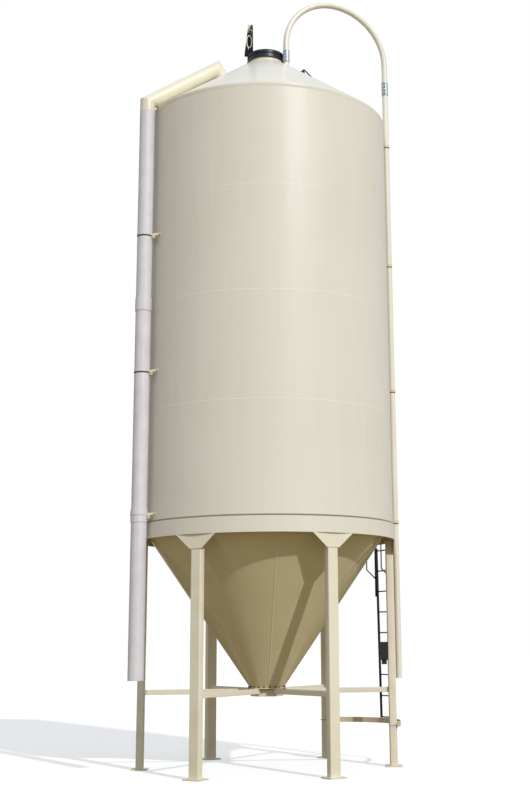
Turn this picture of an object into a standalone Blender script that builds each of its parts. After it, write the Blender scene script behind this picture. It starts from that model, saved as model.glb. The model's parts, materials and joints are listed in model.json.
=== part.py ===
"""Feed bin: a smooth-wall hopper bin on six legs, with its pipes, lid and ladder.

Metres, +Z up. The bin's axis is vertical, and the whole part is centred on its footprint.
"""
from math import asin, cos, radians, sin, sqrt, tan

import bmesh
import bpy
from mathutils import Matrix, Vector

# Fits
SEAT = 0.0003
RUNNING_CLEARANCE = 0.006
SMALL_OVERLAP = 0.001

# Round wall, ring and roof
BIN_RADIUS = 1.829
COURSE_COUNT = 4
COURSE_HEIGHT = 1.524
SHEET = 0.004
RING_BOTTOM = 3.11
RING_DEPTH = 0.254
RING_PROJECTION = 0.022
RING_PLATE = 0.008
RING_LIP = 0.010
ROOF_PITCH = radians(35)
EAVE_LIP_DROP = 0.020
EAVE_LIP_PROJECTION = 0.010
WALL_SIDES = 96

# Filling neck, collar ring and lid
NECK_RADIUS = 0.272
NECK_RISE = 0.140
NECK_SHEET = 0.006
NECK_SKIRT = 0.020
COLLAR_RADIUS = 0.286
COLLAR_HEIGHT = 0.125
COLLAR_STEP = 0.045
COLLAR_STEP_DEPTH = 0.007
COLLAR_OVER_NECK = 0.020
LID_RADIUS = 0.268
LID_DEPTH = 0.042
LID_SHEET = 0.005
LID_OPEN = radians(90)
LID_CLEARANCE = 0.006
HINGE_REACH = 0.225
HINGE_RISE = 0.025
HINGE_PIN_RADIUS = 0.008
PIN_CLEARANCE = 0.0005
HINGE_BOSS_RADIUS = 0.014
LUG_WIDTH = 0.036
LUG_STRAP = 0.006
LUG_STRAP_LENGTH = 0.110
LUG_FOOT_REACH = 0.045
LID_ARM_SHEET = 0.005
LID_ARM_ROOT = 0.091
LID_ARM_TIP = 0.038
LID_ARM_LENGTH = 0.465
NOTCH_CLEARANCE = 0.003
NOTCH_DEPTH = 0.075

# Hopper, outlet and hub
HOPPER_PITCH = radians(55.2)
OUTLET_RADIUS = 0.240
FLANGE_RADIUS = 0.272
FLANGE_THICKNESS = 0.012
HUB_RADIUS = 0.230
HUB_PLATE = 0.010
HUB_DEPTH = 0.105

# Legs and braces
LEG_COUNT = 6
LEG_CIRCLE = 1.768
FIRST_LEG_ANGLE = radians(-1.1)
LEG_WIDTH = 0.152
LEG_DEPTH = 0.102
LEG_WALL = 0.0064
LEG_CORNER = 0.012
FOOT_WIDTH = 0.254
FOOT_LENGTH = 0.229
FOOT_THICKNESS = 0.016
GUSSET_TOP = 0.540
GUSSET_BOTTOM = 0.190
GUSSET_HEIGHT = 0.190
GUSSET_THICKNESS = 0.009
BRACE_WIDTH = 0.051
BRACE_HEIGHT = 0.070
BRACE_WALL = 0.005

# Vent pipe with its head over the roof
VENT_ANGLE = radians(208)
VENT_RADIUS = 0.1095
VENT_WALL = 0.006
VENT_STANDOFF = 0.050
VENT_END = 1.218
VENT_SEAM = 9.372
VENT_RUN_CLEARANCE = 0.020
VENT_RUN_END = 0.790
VENT_COUPLER_RADIUS = 0.117
VENT_COUPLER_LENGTH = 0.185
VENT_COUPLERS = (6.410, 3.416)
VENT_REST_LENGTH = 0.060
VENT_REST_WIDTH = 0.070
VENT_STRAPS = (7.461, 5.449, 3.439)
STRAP_THICKNESS = 0.004
STRAP_WIDTH = 0.040
STRAP_ARM = 0.012

# Filling pipe with its gooseneck
FILL_RADIUS = 0.0445
FILL_WALL = 0.004
FILL_ANGLE = radians(13.2)
FILL_STANDOFF = 0.095
FILL_END = 1.177
FILL_NECK_ANGLE = radians(-22)
FILL_NECK_CLEARANCE = 0.006
FILL_LOWER_COUPLING = (10.256, 10.477)
FILL_UPPER_COUPLING = (10.556, 10.756)
COUPLING_SHEET = 0.007
COUPLING_LUG = 0.022
COUPLING_LUG_WIDTH = 0.030
COUPLING_LUG_ANGLE = radians(60)
GOOSENECK_INNER_BEND = 0.800
GOOSENECK_TOP = 11.670
FILL_CLAMPS = (9.379, 7.400, 5.413, 3.426)

# Ladder, its bar, the rail on the roof and the box
LADDER_ANGLE = FIRST_LEG_ANGLE + radians(30)
LADDER_DISTANCE = 2.018
LADDER_WIDTH = 0.400
RAIL_WIDTH = 0.038
RAIL_THICKNESS = 0.010
RUNG_RADIUS = 0.0095
RUNG_SPACING = 0.305
WALL_LADDER_FOOT = 2.36
LOW_LADDER_WIDTH = 0.350
LOW_LADDER_TOP = 3.08
LOW_LADDER_RUNGS = 9
FIRST_RUNG = 0.605
LOW_LADDER_LEAN = 0.030
STANDOFF_HEIGHTS = (4.20, 5.75, 7.30, 8.85)
STANDOFF_HEIGHT = 0.030
STRUT_ROD = 0.010
STRUT_OUTER = 2.62
STRUT_BEND = 2.76
STRUT_TOP = 3.23
LADDER_BAR_HEIGHT = 0.075
LADDER_BAR_CENTRE = 0.555
LADDER_BAR_PLATE = 0.008
LADDER_BAR_TAIL = 0.100
BAR_STRAP_ROD = 0.006
HANDRAIL_ROD = 0.014
HANDRAIL_RISE = 0.400
HANDRAIL_TOP = 0.700
HANDRAIL_FOOT = 1.600
BOX_WIDTH = 0.105
BOX_LENGTH = 0.110
BOX_HEIGHT = 0.250
BOX_BOTTOM = 1.440
BOX_SOCKET_WIDTH = 0.070
BOX_SOCKET_HEIGHT = 0.060

PIPE_SIDES = 24
ROD_SIDES = 12

# Derived places
RING_TOP = RING_BOTTOM + RING_DEPTH
RING_RADIUS = BIN_RADIUS + RING_PROJECTION
EAVE = RING_TOP + COURSE_COUNT * COURSE_HEIGHT
LIP_RADIUS = BIN_RADIUS - SHEET - 0.006
NECK_FOOT = EAVE + (BIN_RADIUS - NECK_RADIUS) * tan(ROOF_PITCH)
NECK_TOP = NECK_FOOT + NECK_RISE
COLLAR_TOP = NECK_TOP + COLLAR_OVER_NECK
COLLAR_BOTTOM = COLLAR_TOP - COLLAR_HEIGHT
FLANGE_TOP = RING_TOP - RING_PLATE - (LIP_RADIUS - OUTLET_RADIUS) * tan(HOPPER_PITCH)
FLANGE_BOTTOM = FLANGE_TOP - FLANGE_THICKNESS
HUB_TOP = FLANGE_BOTTOM - SEAT
BRACE_TOP = HUB_TOP - SEAT
HINGE = Vector((-HINGE_REACH, 0, COLLAR_TOP + HINGE_RISE))
LEG_FACE = LEG_CIRCLE - LEG_DEPTH / 2
VENT_CIRCLE = BIN_RADIUS + VENT_STANDOFF + VENT_RADIUS
FILL_CIRCLE = BIN_RADIUS + FILL_STANDOFF + FILL_RADIUS
FILL_NECK_CIRCLE = COLLAR_RADIUS + FILL_NECK_CLEARANCE + COUPLING_SHEET + FILL_RADIUS
LADDER_BAR_TOP = LADDER_BAR_CENTRE + LADDER_BAR_HEIGHT / 2
LID_UNDERSIDE = LID_CLEARANCE - HINGE_RISE
LID_TOP = LID_UNDERSIDE + LID_DEPTH
LID_ARM_WIDTH = LUG_WIDTH + 2 * (LID_CLEARANCE + LID_ARM_SHEET)
UPRIGHT = Matrix(((1, 0, 0, 0), (0, 0, -1, 0), (0, 1, 0, 0), (0, 0, 0, 1)))
ALONG_X = Matrix(((0, 0, 1, 0), (1, 0, 0, 0), (0, 1, 0, 0), (0, 0, 0, 1)))

CREAM = (0.74, 0.69, 0.57, 1)
PALE = (0.75, 0.75, 0.72, 1)
GREY = (0.62, 0.60, 0.60, 1)
BLACK = (0.02, 0.02, 0.025, 1)
ZINC = (0.55, 0.60, 0.65, 1)


def roof_height(radius, lift=0.0):
    """Height of the roof's outer surface at a radius, or of a line lifted square to it."""
    return EAVE + (BIN_RADIUS - radius) * tan(ROOF_PITCH) + lift / cos(ROOF_PITCH)


def bore_round(radius):
    """The corner radius of a faceted bore whose flats just clear a pipe."""
    return (radius + SEAT) / cos(radians(180 / PIPE_SIDES))


def polar(radius, angle, height=0.0):
    return Vector((radius * cos(angle), radius * sin(angle), height))


def clear_scene():
    for item in list(bpy.data.objects):
        bpy.data.objects.remove(item, do_unlink=True)


def new_collection(name):
    group = bpy.data.collections.new(name)
    bpy.context.scene.collection.children.link(group)
    return group


clear_scene()
PARTS = new_collection("feed_bin")
CUTTERS = new_collection("cutters")


def new_material(name, colour, roughness, metallic=0.0):
    material = bpy.data.materials.new(name)
    material.use_nodes = True
    shader = material.node_tree.nodes["Principled BSDF"]
    shader.inputs["Base Color"].default_value = colour
    shader.inputs["Roughness"].default_value = roughness
    shader.inputs["Metallic"].default_value = metallic
    return material


def finish_part(item, colour, roughness=0.45, metallic=0.0):
    """Gives the piece its own material and puts it in the part's collection."""
    item.data.materials.clear()
    item.data.materials.append(new_material(item.name, colour, roughness, metallic))
    for group in list(item.users_collection):
        group.objects.unlink(item)
    PARTS.objects.link(item)
    return item


def as_cutter(item):
    for group in list(item.users_collection):
        group.objects.unlink(item)
    CUTTERS.objects.link(item)
    item.hide_render = True
    item.display_type = "WIRE"
    return item


def mesh_object(name, shape):
    mesh = bpy.data.meshes.new(name)
    shape.to_mesh(mesh)
    shape.free()
    item = bpy.data.objects.new(name, mesh)
    bpy.context.scene.collection.objects.link(item)
    return item


def evaluated_copy(source, name):
    """A plain mesh object with the source's modifiers and place built in."""
    bpy.context.view_layer.update()
    graph = bpy.context.evaluated_depsgraph_get()
    mesh = bpy.data.meshes.new_from_object(source.evaluated_get(graph))
    mesh.transform(source.matrix_world)
    shape = bmesh.new()
    shape.from_mesh(mesh)
    bmesh.ops.remove_doubles(shape, verts=shape.verts, dist=0.00001)
    shape.to_mesh(mesh)
    shape.free()
    bpy.data.objects.remove(source, do_unlink=True)
    item = bpy.data.objects.new(name, mesh)
    bpy.context.scene.collection.objects.link(item)
    return item


def turned(name, profile, sides=WALL_SIDES, closed=True):
    """Turns a profile of (radius, height) points, outer side first, round the Z axis."""
    shape = bmesh.new()
    points = [shape.verts.new((radius, 0, height)) for radius, height in profile]
    for start, end in zip(points, points[1:]):
        shape.edges.new((start, end))
    if closed:
        shape.edges.new((points[-1], points[0]))
    item = mesh_object(name, shape)
    screw = item.modifiers.new("turn", "SCREW")
    screw.steps = sides
    screw.render_steps = sides
    screw.use_merge_vertices = True
    screw.merge_threshold = 0.0001
    return item


def smooth(item, angle=radians(30)):
    for face in item.data.polygons:
        face.use_smooth = True
    item.data.set_sharp_from_angle(angle=angle)
    return item


def ring(name, outer, inner, bottom, top, sides=WALL_SIDES):
    return turned(name, [(outer, top), (outer, bottom), (inner, bottom), (inner, top)], sides)


def box(name, size, centre):
    shape = bmesh.new()
    bmesh.ops.create_cube(shape, size=1)
    bmesh.ops.scale(shape, vec=size, verts=shape.verts)
    bmesh.ops.translate(shape, vec=centre, verts=shape.verts)
    return mesh_object(name, shape)


def cylinder(name, radius, start, end, sides=ROD_SIDES):
    """A round bar between two points."""
    start, end = Vector(start), Vector(end)
    shape = bmesh.new()
    bmesh.ops.create_cone(shape, cap_ends=True, segments=sides, radius1=radius, radius2=radius,
                          depth=(end - start).length)
    turn = (end - start).to_track_quat("Z", "Y").to_matrix().to_4x4()
    bmesh.ops.transform(shape, matrix=Matrix.Translation((start + end) / 2) @ turn, verts=shape.verts)
    return mesh_object(name, shape)


def rod(name, points, radius, sides=ROD_SIDES, cyclic=False):
    """A solid bent bar: a curve with a round bevel and filled caps, made a mesh."""
    item = curve_tube(name, points, radius, sides, cyclic)
    item.data.use_fill_caps = not cyclic
    return evaluated_copy(item, name)


def curve_tube(name, points, radius, sides, cyclic=False):
    curve = bpy.data.curves.new(name, "CURVE")
    curve.dimensions = "3D"
    curve.bevel_depth = radius
    curve.bevel_resolution = sides // 2 - 2
    spline = curve.splines.new("POLY")
    spline.points.add(len(points) - 1)
    for place, point in zip(spline.points, points):
        place.co = (*point, 1)
    spline.use_cyclic_u = cyclic
    item = bpy.data.objects.new(name, curve)
    bpy.context.scene.collection.objects.link(item)
    return item


def pipe(name, points, radius, wall, sides=PIPE_SIDES):
    """A hollow pipe, open at both ends, along a line of points."""
    item = evaluated_copy(curve_tube(name, points, radius, sides), name)
    shell = item.modifiers.new("wall", "SOLIDIFY")
    shell.thickness = wall
    shell.offset = -1
    return item


def plate(name, outlines, thickness):
    """A flat plate in the XY plane from closed outlines; inner ones are holes."""
    curve = bpy.data.curves.new(name, "CURVE")
    curve.dimensions = "2D"
    curve.fill_mode = "BOTH"
    curve.extrude = thickness / 2
    for outline in outlines:
        spline = curve.splines.new("POLY")
        spline.points.add(len(outline) - 1)
        for place, point in zip(spline.points, outline):
            place.co = (point[0], point[1], 0, 1)
        spline.use_cyclic_u = True
    item = bpy.data.objects.new(name, curve)
    bpy.context.scene.collection.objects.link(item)
    return evaluated_copy(item, name)


def place(item, matrix):
    item.data.transform(matrix)
    return item


def rounded_rectangle(width, depth, corner, steps=3):
    """Points round a rectangle with round corners."""
    points = []
    quarters = ((1, 1, 0), (-1, 1, 90), (-1, -1, 180), (1, -1, 270))
    for side_x, side_y, start in quarters:
        for step in range(steps + 1):
            turn = radians(start + 90 * step / steps)
            points.append((side_x * (width / 2 - corner) + corner * cos(turn),
                           side_y * (depth / 2 - corner) + corner * sin(turn)))
    return points


def join_solid(base, *others):
    """Joins solids that run into one another into one body."""
    for other in others:
        union = base.modifiers.new("join", "BOOLEAN")
        union.operation = "UNION"
        union.use_self = True
        union.object = other
    name = base.name
    bpy.context.view_layer.update()
    joined = evaluated_copy(base, name)
    for other in others:
        bpy.data.objects.remove(other, do_unlink=True)
    joined.name = name
    return joined


def cut(item, cutter):
    as_cutter(cutter)
    difference = item.modifiers.new("cut", "BOOLEAN")
    difference.operation = "DIFFERENCE"
    difference.object = cutter
    return item


def islands(name, *items):
    """Loose solids in one object, for one Boolean."""
    shape = bmesh.new()
    for item in items:
        shape.from_mesh(item.data)
        bpy.data.objects.remove(item, do_unlink=True)
    return mesh_object(name, shape)


def wall_envelope(name):
    """What a piece fixed to the wall or the ring is cut back from."""
    wall = BIN_RADIUS + SEAT
    band = RING_RADIUS + SEAT
    profile = [(0, EAVE - EAVE_LIP_DROP - SEAT), (wall, EAVE - EAVE_LIP_DROP - SEAT),
               (wall, RING_TOP + SEAT), (band, RING_TOP + SEAT), (band, RING_BOTTOM), (0, RING_BOTTOM)]
    return evaluated_copy(turned(name, profile, WALL_SIDES, closed=False), name)


def roof_envelope(name):
    """What a piece standing on the roof is cut back from."""
    edge = roof_height(BIN_RADIUS) + SHEET / cos(ROOF_PITCH) + 2 * SEAT
    profile = [(0, edge + BIN_RADIUS * tan(ROOF_PITCH)), (BIN_RADIUS, edge),
               (BIN_RADIUS, RING_TOP), (0, RING_TOP)]
    return evaluated_copy(turned(name, profile, WALL_SIDES, closed=False), name)


# Bin shell

def build_wall():
    for number in range(COURSE_COUNT):
        bottom = RING_TOP + number * COURSE_HEIGHT + SEAT
        top = RING_TOP + (number + 1) * COURSE_HEIGHT
        course = ring(f"wall_course_{number + 1}", BIN_RADIUS, BIN_RADIUS - SHEET, bottom, top)
        finish_part(smooth(course), CREAM)


def build_ring_band():
    """A deep rolled channel: outer plate with a lip in at its top and its bottom."""
    inside = RING_RADIUS - RING_PLATE
    profile = [
        (RING_RADIUS, RING_TOP), (RING_RADIUS, RING_BOTTOM),
        (LIP_RADIUS, RING_BOTTOM), (LIP_RADIUS, RING_BOTTOM + RING_PLATE),
        (inside, RING_BOTTOM + RING_PLATE), (inside, RING_TOP - RING_PLATE),
        (LIP_RADIUS, RING_TOP - RING_PLATE), (LIP_RADIUS, RING_TOP),
    ]
    finish_part(turned("ring_band", profile), CREAM)


def build_roof():
    """The roof cone with a turned-down lip at the eave and holes for neck and pipes."""
    slope = SHEET / cos(ROOF_PITCH)
    rim = BIN_RADIUS + EAVE_LIP_PROJECTION
    eave = EAVE + SEAT + slope
    hole = NECK_RADIUS + SEAT
    rise = (BIN_RADIUS - hole) * tan(ROOF_PITCH)
    profile = [
        (hole, eave + rise), (BIN_RADIUS, eave), (rim, eave - EAVE_LIP_PROJECTION * tan(ROOF_PITCH)),
        (rim, EAVE - EAVE_LIP_DROP), (rim - SHEET, EAVE - EAVE_LIP_DROP),
        (rim - SHEET, EAVE + SEAT), (BIN_RADIUS - SHEET, EAVE + SEAT),
        (hole, eave - slope + rise),
    ]
    roof = turned("roof_cone", profile)
    vent_foot = polar(VENT_RUN_END, VENT_ANGLE, roof_height(VENT_RUN_END))
    normal = polar(sin(ROOF_PITCH), VENT_ANGLE, cos(ROOF_PITCH))
    bore = VENT_RADIUS - VENT_WALL
    cut(roof, cylinder("vent_hole", bore, vent_foot - normal * bore, vent_foot + normal * bore, PIPE_SIDES))
    neck = polar(FILL_NECK_CIRCLE, FILL_NECK_ANGLE, roof_height(FILL_NECK_CIRCLE))
    bore = FILL_RADIUS - FILL_WALL
    down, up = neck - Vector((0, 0, 3 * bore)), neck + Vector((0, 0, 3 * bore))
    cut(roof, cylinder("fill_hole", bore, down, up, PIPE_SIDES))
    finish_part(smooth(roof), PALE)


def build_neck_and_collar():
    """The cream neck welded to the roof, and the black band clamped round its top."""
    neck = ring("fill_neck", NECK_RADIUS, NECK_RADIUS - NECK_SHEET, NECK_FOOT - NECK_SKIRT, NECK_TOP)
    finish_part(smooth(neck), CREAM)
    bore = NECK_RADIUS + SEAT
    waist = COLLAR_RADIUS - COLLAR_STEP_DEPTH
    step = COLLAR_TOP - COLLAR_STEP
    profile = [
        (COLLAR_RADIUS, COLLAR_TOP), (COLLAR_RADIUS, step), (waist, step),
        (waist, COLLAR_BOTTOM), (bore, COLLAR_BOTTOM), (bore, COLLAR_TOP),
    ]
    finish_part(smooth(turned("collar_ring", profile)), BLACK)


def build_hopper():
    """The hopper cone hangs from the ring's upper lip and ends at the outlet flange."""
    top = RING_TOP - RING_PLATE
    radius = LIP_RADIUS - SEAT
    slope = SHEET / sin(HOPPER_PITCH)
    profile = [
        (radius, RING_TOP), (radius, top), (OUTLET_RADIUS, FLANGE_TOP + SEAT),
        (OUTLET_RADIUS - slope, FLANGE_TOP + SEAT), (radius - slope, top), (radius - slope, RING_TOP),
    ]
    finish_part(smooth(turned("hopper_cone", profile)), CREAM)
    flange = ring("outlet_flange", FLANGE_RADIUS, OUTLET_RADIUS - slope, FLANGE_BOTTOM, FLANGE_TOP, 48)
    finish_part(smooth(flange), CREAM)


def build_hub():
    """A six-sided band under the flange, with a corner for each brace."""
    outline = [polar(HUB_RADIUS, FIRST_LEG_ANGLE + radians(60 * side)) for side in range(LEG_COUNT)]
    bore = [point * (1 - HUB_PLATE / HUB_RADIUS) for point in outline]
    hub = plate("brace_hub", (outline, bore), HUB_DEPTH)
    place(hub, Matrix.Translation((0, 0, HUB_TOP - HUB_DEPTH / 2)))
    finish_part(hub, CREAM)


# Legs and braces

def build_leg_mesh():
    """One leg at the origin: base plate, rectangular tube and head gusset, welded together."""
    top = RING_BOTTOM - SEAT
    tube_foot = FOOT_THICKNESS - SMALL_OVERLAP
    outer = rounded_rectangle(LEG_DEPTH, LEG_WIDTH, LEG_CORNER)
    inner = rounded_rectangle(LEG_DEPTH - 2 * LEG_WALL, LEG_WIDTH - 2 * LEG_WALL, LEG_CORNER - LEG_WALL)
    tube = plate("leg_tube", (outer, inner), top - tube_foot)
    place(tube, Matrix.Translation((0, 0, (top + tube_foot) / 2)))
    foot = box("leg_foot", (FOOT_LENGTH, FOOT_WIDTH, FOOT_THICKNESS), (0, 0, FOOT_THICKNESS / 2))
    wide, narrow = GUSSET_TOP / 2, GUSSET_BOTTOM / 2
    low = top - GUSSET_HEIGHT
    trapezoid = [(-wide, top), (-narrow, low), (narrow, low), (wide, top)]
    gusset = plate("leg_gusset", (trapezoid,), GUSSET_THICKNESS)
    place(gusset, Matrix.Translation((LEG_DEPTH / 2 + GUSSET_THICKNESS / 2 - SMALL_OVERLAP, 0, 0)) @ ALONG_X)
    return join_solid(tube, foot, gusset)


def build_legs():
    pattern = build_leg_mesh()
    for number in range(LEG_COUNT):
        name = f"leg_{number + 1}"
        leg = bpy.data.objects.new(name, pattern.data.copy())
        angle = FIRST_LEG_ANGLE + radians(360 / LEG_COUNT) * number
        leg.location = polar(LEG_CIRCLE, angle)
        leg.rotation_euler.z = angle
        finish_part(leg, CREAM)
    bpy.data.objects.remove(pattern, do_unlink=True)


def build_braces():
    """Hollow bars from the hub's corners to the legs' inner faces."""
    start = HUB_RADIUS + SEAT
    end = LEG_FACE - SEAT
    outer = rounded_rectangle(BRACE_WIDTH, BRACE_HEIGHT, 0.006, 2)
    inner = rounded_rectangle(BRACE_WIDTH - 2 * BRACE_WALL, BRACE_HEIGHT - 2 * BRACE_WALL, 0.001, 1)
    for number in range(LEG_COUNT):
        brace = plate(f"brace_{number + 1}", (outer, inner), end - start)
        place(brace, Matrix.Translation(((start + end) / 2, 0, BRACE_TOP - BRACE_HEIGHT / 2)) @ ALONG_X)
        brace.rotation_euler.z = FIRST_LEG_ANGLE + radians(360 / LEG_COUNT) * number
        finish_part(brace, CREAM)


# Lid

def build_lid():
    """The lid and its arm, modelled shut about the hinge pin, then swung open."""
    pivot = bpy.data.objects.new("lid_pivot", None)
    pivot.location = HINGE
    pivot.rotation_euler.y = -LID_OPEN
    PARTS.objects.link(pivot)
    for item in (build_lid_pan(), build_lid_arm()):
        finish_part(item, BLACK)
        item.parent = pivot


def build_lid_pan():
    """A flanged disc, hollow underneath, with a slot in its rim for the hinge."""
    inner = LID_RADIUS - LID_SHEET
    chamfer = LID_DEPTH / 4
    profile = [
        (0, LID_TOP), (LID_RADIUS - chamfer, LID_TOP), (LID_RADIUS, LID_TOP - chamfer),
        (LID_RADIUS, LID_UNDERSIDE), (inner, LID_UNDERSIDE), (inner, LID_TOP - LID_SHEET - chamfer),
        (inner - chamfer, LID_TOP - LID_SHEET), (0, LID_TOP - LID_SHEET),
    ]
    pan = evaluated_copy(turned("lid_pan", profile, 64, closed=False), "lid")
    place(pan, Matrix.Translation((HINGE_REACH, 0, 0)))
    slot_width = LID_ARM_WIDTH + 2 * NOTCH_CLEARANCE
    slot_end = HINGE_REACH - LID_RADIUS + NOTCH_DEPTH
    slot = box("lid_slot", (2 * NOTCH_DEPTH, slot_width, 4 * LID_DEPTH), (slot_end - NOTCH_DEPTH, 0, 0))
    pan = evaluated_copy(cut(pan, slot), "lid")
    bpy.data.objects.remove(slot, do_unlink=True)
    return smooth(pan)


def build_lid_arm():
    """A tapered channel along the lid's top, its cheeks carried down to the pin."""
    seat = LID_TOP + SEAT
    boss = HINGE_BOSS_RADIUS
    root = seat + LID_ARM_ROOT
    tip = seat + LID_ARM_TIP
    slot_end = HINGE_REACH - LID_RADIUS + NOTCH_DEPTH - NOTCH_CLEARANCE
    outline = [(-boss, 0), (-boss, root - boss), (0, root), (LID_ARM_LENGTH, tip), (LID_ARM_LENGTH, seat),
               (slot_end, seat), (boss, -boss / 2), (boss / 2, -boss), (-boss / 2, -boss)]
    arm = place(plate("lid_arm", (outline,), LID_ARM_WIDTH), UPRIGHT)
    taper = (root - tip) / LID_ARM_LENGTH
    web = LID_ARM_SHEET
    length = LID_ARM_LENGTH - web
    reach = 3 * boss
    hollow = [(-reach, -reach), (-reach, root - web + reach * taper),
              (length, root - web - length * taper), (length, -reach)]
    inside = place(plate("arm_hollow", (hollow,), LID_ARM_WIDTH - 2 * LID_ARM_SHEET), UPRIGHT)
    bore = HINGE_PIN_RADIUS + PIN_CLEARANCE
    half = Vector((0, LID_ARM_WIDTH, 0))
    arm = cut(cut(arm, inside), cylinder("arm_bore", bore, -half, half, 24))
    made = evaluated_copy(arm, "lid_arm")
    for name in ("arm_hollow", "arm_bore"):
        bpy.data.objects.remove(bpy.data.objects[name], do_unlink=True)
    return made


def build_lid_bracket():
    """The hinge lug on the collar, its pin, and its strap down the collar to the roof."""
    pin_x = HINGE_REACH
    pin_z = HINGE.z
    boss = HINGE_BOSS_RADIUS
    seat = COLLAR_TOP + SEAT
    face = COLLAR_RADIUS + SEAT
    strap = face + LUG_STRAP
    foot_x = face + LUG_FOOT_REACH
    foot_z = roof_height(foot_x) - SHEET
    knee = COLLAR_TOP - LUG_STRAP_LENGTH
    inner = [(pin_x - boss, pin_z), (pin_x - boss * 0.7, pin_z - boss * 0.7), (pin_x, pin_z - boss),
             (NECK_RADIUS - boss, seat), (face, seat), (face, knee), (foot_x, foot_z)]
    outer = [(foot_x + LUG_STRAP, foot_z), (strap, knee + LUG_STRAP), (strap, seat + LUG_STRAP),
             (pin_x, pin_z + boss), (pin_x - boss * 0.7, pin_z + boss * 0.7)]
    outline = [(-x, z) for x, z in inner + outer]
    lug = place(plate("lid_bracket", (outline,), LUG_WIDTH), UPRIGHT)
    half = Vector((0, LID_ARM_WIDTH / 2 + LUG_STRAP, 0))
    pin = cylinder("hinge_pin", HINGE_PIN_RADIUS, HINGE - half, HINGE + half, 24)
    bracket = join_solid(lug, pin)
    finish_part(cut(bracket, roof_envelope("bracket_roof")), BLACK)


# Vent pipe

def mitred_pipe(name, path, first_normal, last_normal, radius, wall):
    """A hollow pipe with sharp corners: each ring lies on the plane that halves its corner."""
    shape = bmesh.new()
    rings = []
    for size in (radius, radius - wall):
        run = (path[1] - path[0]).normalized()
        circle = bmesh.ops.create_circle(shape, cap_ends=False, radius=size, segments=PIPE_SIDES)["verts"]
        turn = run.to_track_quat("Z", "Y").to_matrix().to_4x4()
        bmesh.ops.transform(shape, matrix=Matrix.Translation(path[0]) @ turn, verts=circle)
        slide_to_plane(circle, run, path[0], first_normal)
        lengthwise = [circle]
        for index in range(1, len(path)):
            run = (path[index] - path[index - 1]).normalized()
            normal = last_normal
            if index < len(path) - 1:
                normal = run + (path[index + 1] - path[index]).normalized()
            following = [shape.verts.new(vert.co) for vert in lengthwise[-1]]
            slide_to_plane(following, run, path[index], normal)
            lengthwise.append(following)
        rings.extend(reversed(lengthwise) if rings else lengthwise)
    for near, far in zip(rings, rings[1:] + rings[:1]):
        for index in range(PIPE_SIDES):
            after = (index + 1) % PIPE_SIDES
            shape.faces.new((near[index], near[after], far[after], far[index]))
    bmesh.ops.recalc_face_normals(shape, faces=shape.faces)
    return mesh_object(name, shape)


def slide_to_plane(verts, direction, point, normal):
    """Slides points along a direction until they lie on a plane."""
    for vert in verts:
        vert.co += direction * ((point - vert.co).dot(normal) / direction.dot(normal))


def vent_points():
    """The corners of the vent's head: over the wall, over its hole, and on the roof."""
    lift = VENT_RUN_CLEARANCE + VENT_RADIUS
    corner = polar(VENT_CIRCLE, VENT_ANGLE, roof_height(VENT_CIRCLE, lift))
    normal = polar(sin(ROOF_PITCH), VENT_ANGLE, cos(ROOF_PITCH))
    foot = polar(VENT_RUN_END, VENT_ANGLE, roof_height(VENT_RUN_END))
    return corner, foot + normal * lift, foot, normal


def build_vent():
    foot = polar(VENT_CIRCLE, VENT_ANGLE, VENT_END)
    seam = polar(VENT_CIRCLE, VENT_ANGLE, VENT_SEAM)
    finish_part(smooth(pipe("vent_pipe", (foot, seam), VENT_RADIUS, VENT_WALL)), GREY)

    corner, turn_down, roof_foot, normal = vent_points()
    up = Vector((0, 0, 1))
    along = (turn_down - corner).normalized()
    mitre = up + along
    gap = mitre.normalized() * SEAT
    elbow = mitred_pipe("vent_elbow", (seam + up * SEAT, corner - gap), up, mitre, VENT_RADIUS, VENT_WALL)
    finish_part(smooth(elbow), CREAM)
    end = roof_foot - normal * VENT_RADIUS
    run = mitred_pipe("vent_run", (corner, turn_down, end), mitre, normal, VENT_RADIUS, VENT_WALL)
    finish_part(smooth(cut(run, roof_envelope("run_roof"))), CREAM)
    build_vent_rest()

    for number, height in enumerate(VENT_COUPLERS, 1):
        coupler = ring(f"vent_coupler_{number}", VENT_COUPLER_RADIUS, bore_round(VENT_RADIUS),
                       height - VENT_COUPLER_LENGTH / 2, height + VENT_COUPLER_LENGTH / 2, PIPE_SIDES)
        coupler.location = polar(VENT_CIRCLE, VENT_ANGLE)
        coupler.rotation_euler.z = radians(180 / PIPE_SIDES)
        finish_part(smooth(coupler), GREY)
    for number, height in enumerate(VENT_STRAPS, 1):
        on_coupler = any(abs(height - place_at) < VENT_COUPLER_LENGTH / 2 for place_at in VENT_COUPLERS)
        radius = VENT_COUPLER_RADIUS if on_coupler else VENT_RADIUS
        build_strap(f"vent_strap_{number}", VENT_ANGLE, VENT_CIRCLE, radius, height)


def build_vent_rest():
    """The small block that carries the vent's run on the edge of the roof."""
    top = VENT_RUN_CLEARANCE - SEAT
    depth = 2 * VENT_RUN_CLEARANCE
    block = box("vent_rest", (VENT_REST_LENGTH, VENT_REST_WIDTH, depth), (0, 0, top - depth / 2))
    slope = Matrix.Rotation(ROOF_PITCH, 4, "Y")
    radius = BIN_RADIUS - VENT_REST_LENGTH / 2
    seat = Matrix.Translation((radius, 0, roof_height(radius)))
    place(block, Matrix.Rotation(VENT_ANGLE, 4, "Z") @ seat @ slope)
    finish_part(cut(block, roof_envelope("rest_roof")), CREAM)


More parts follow.
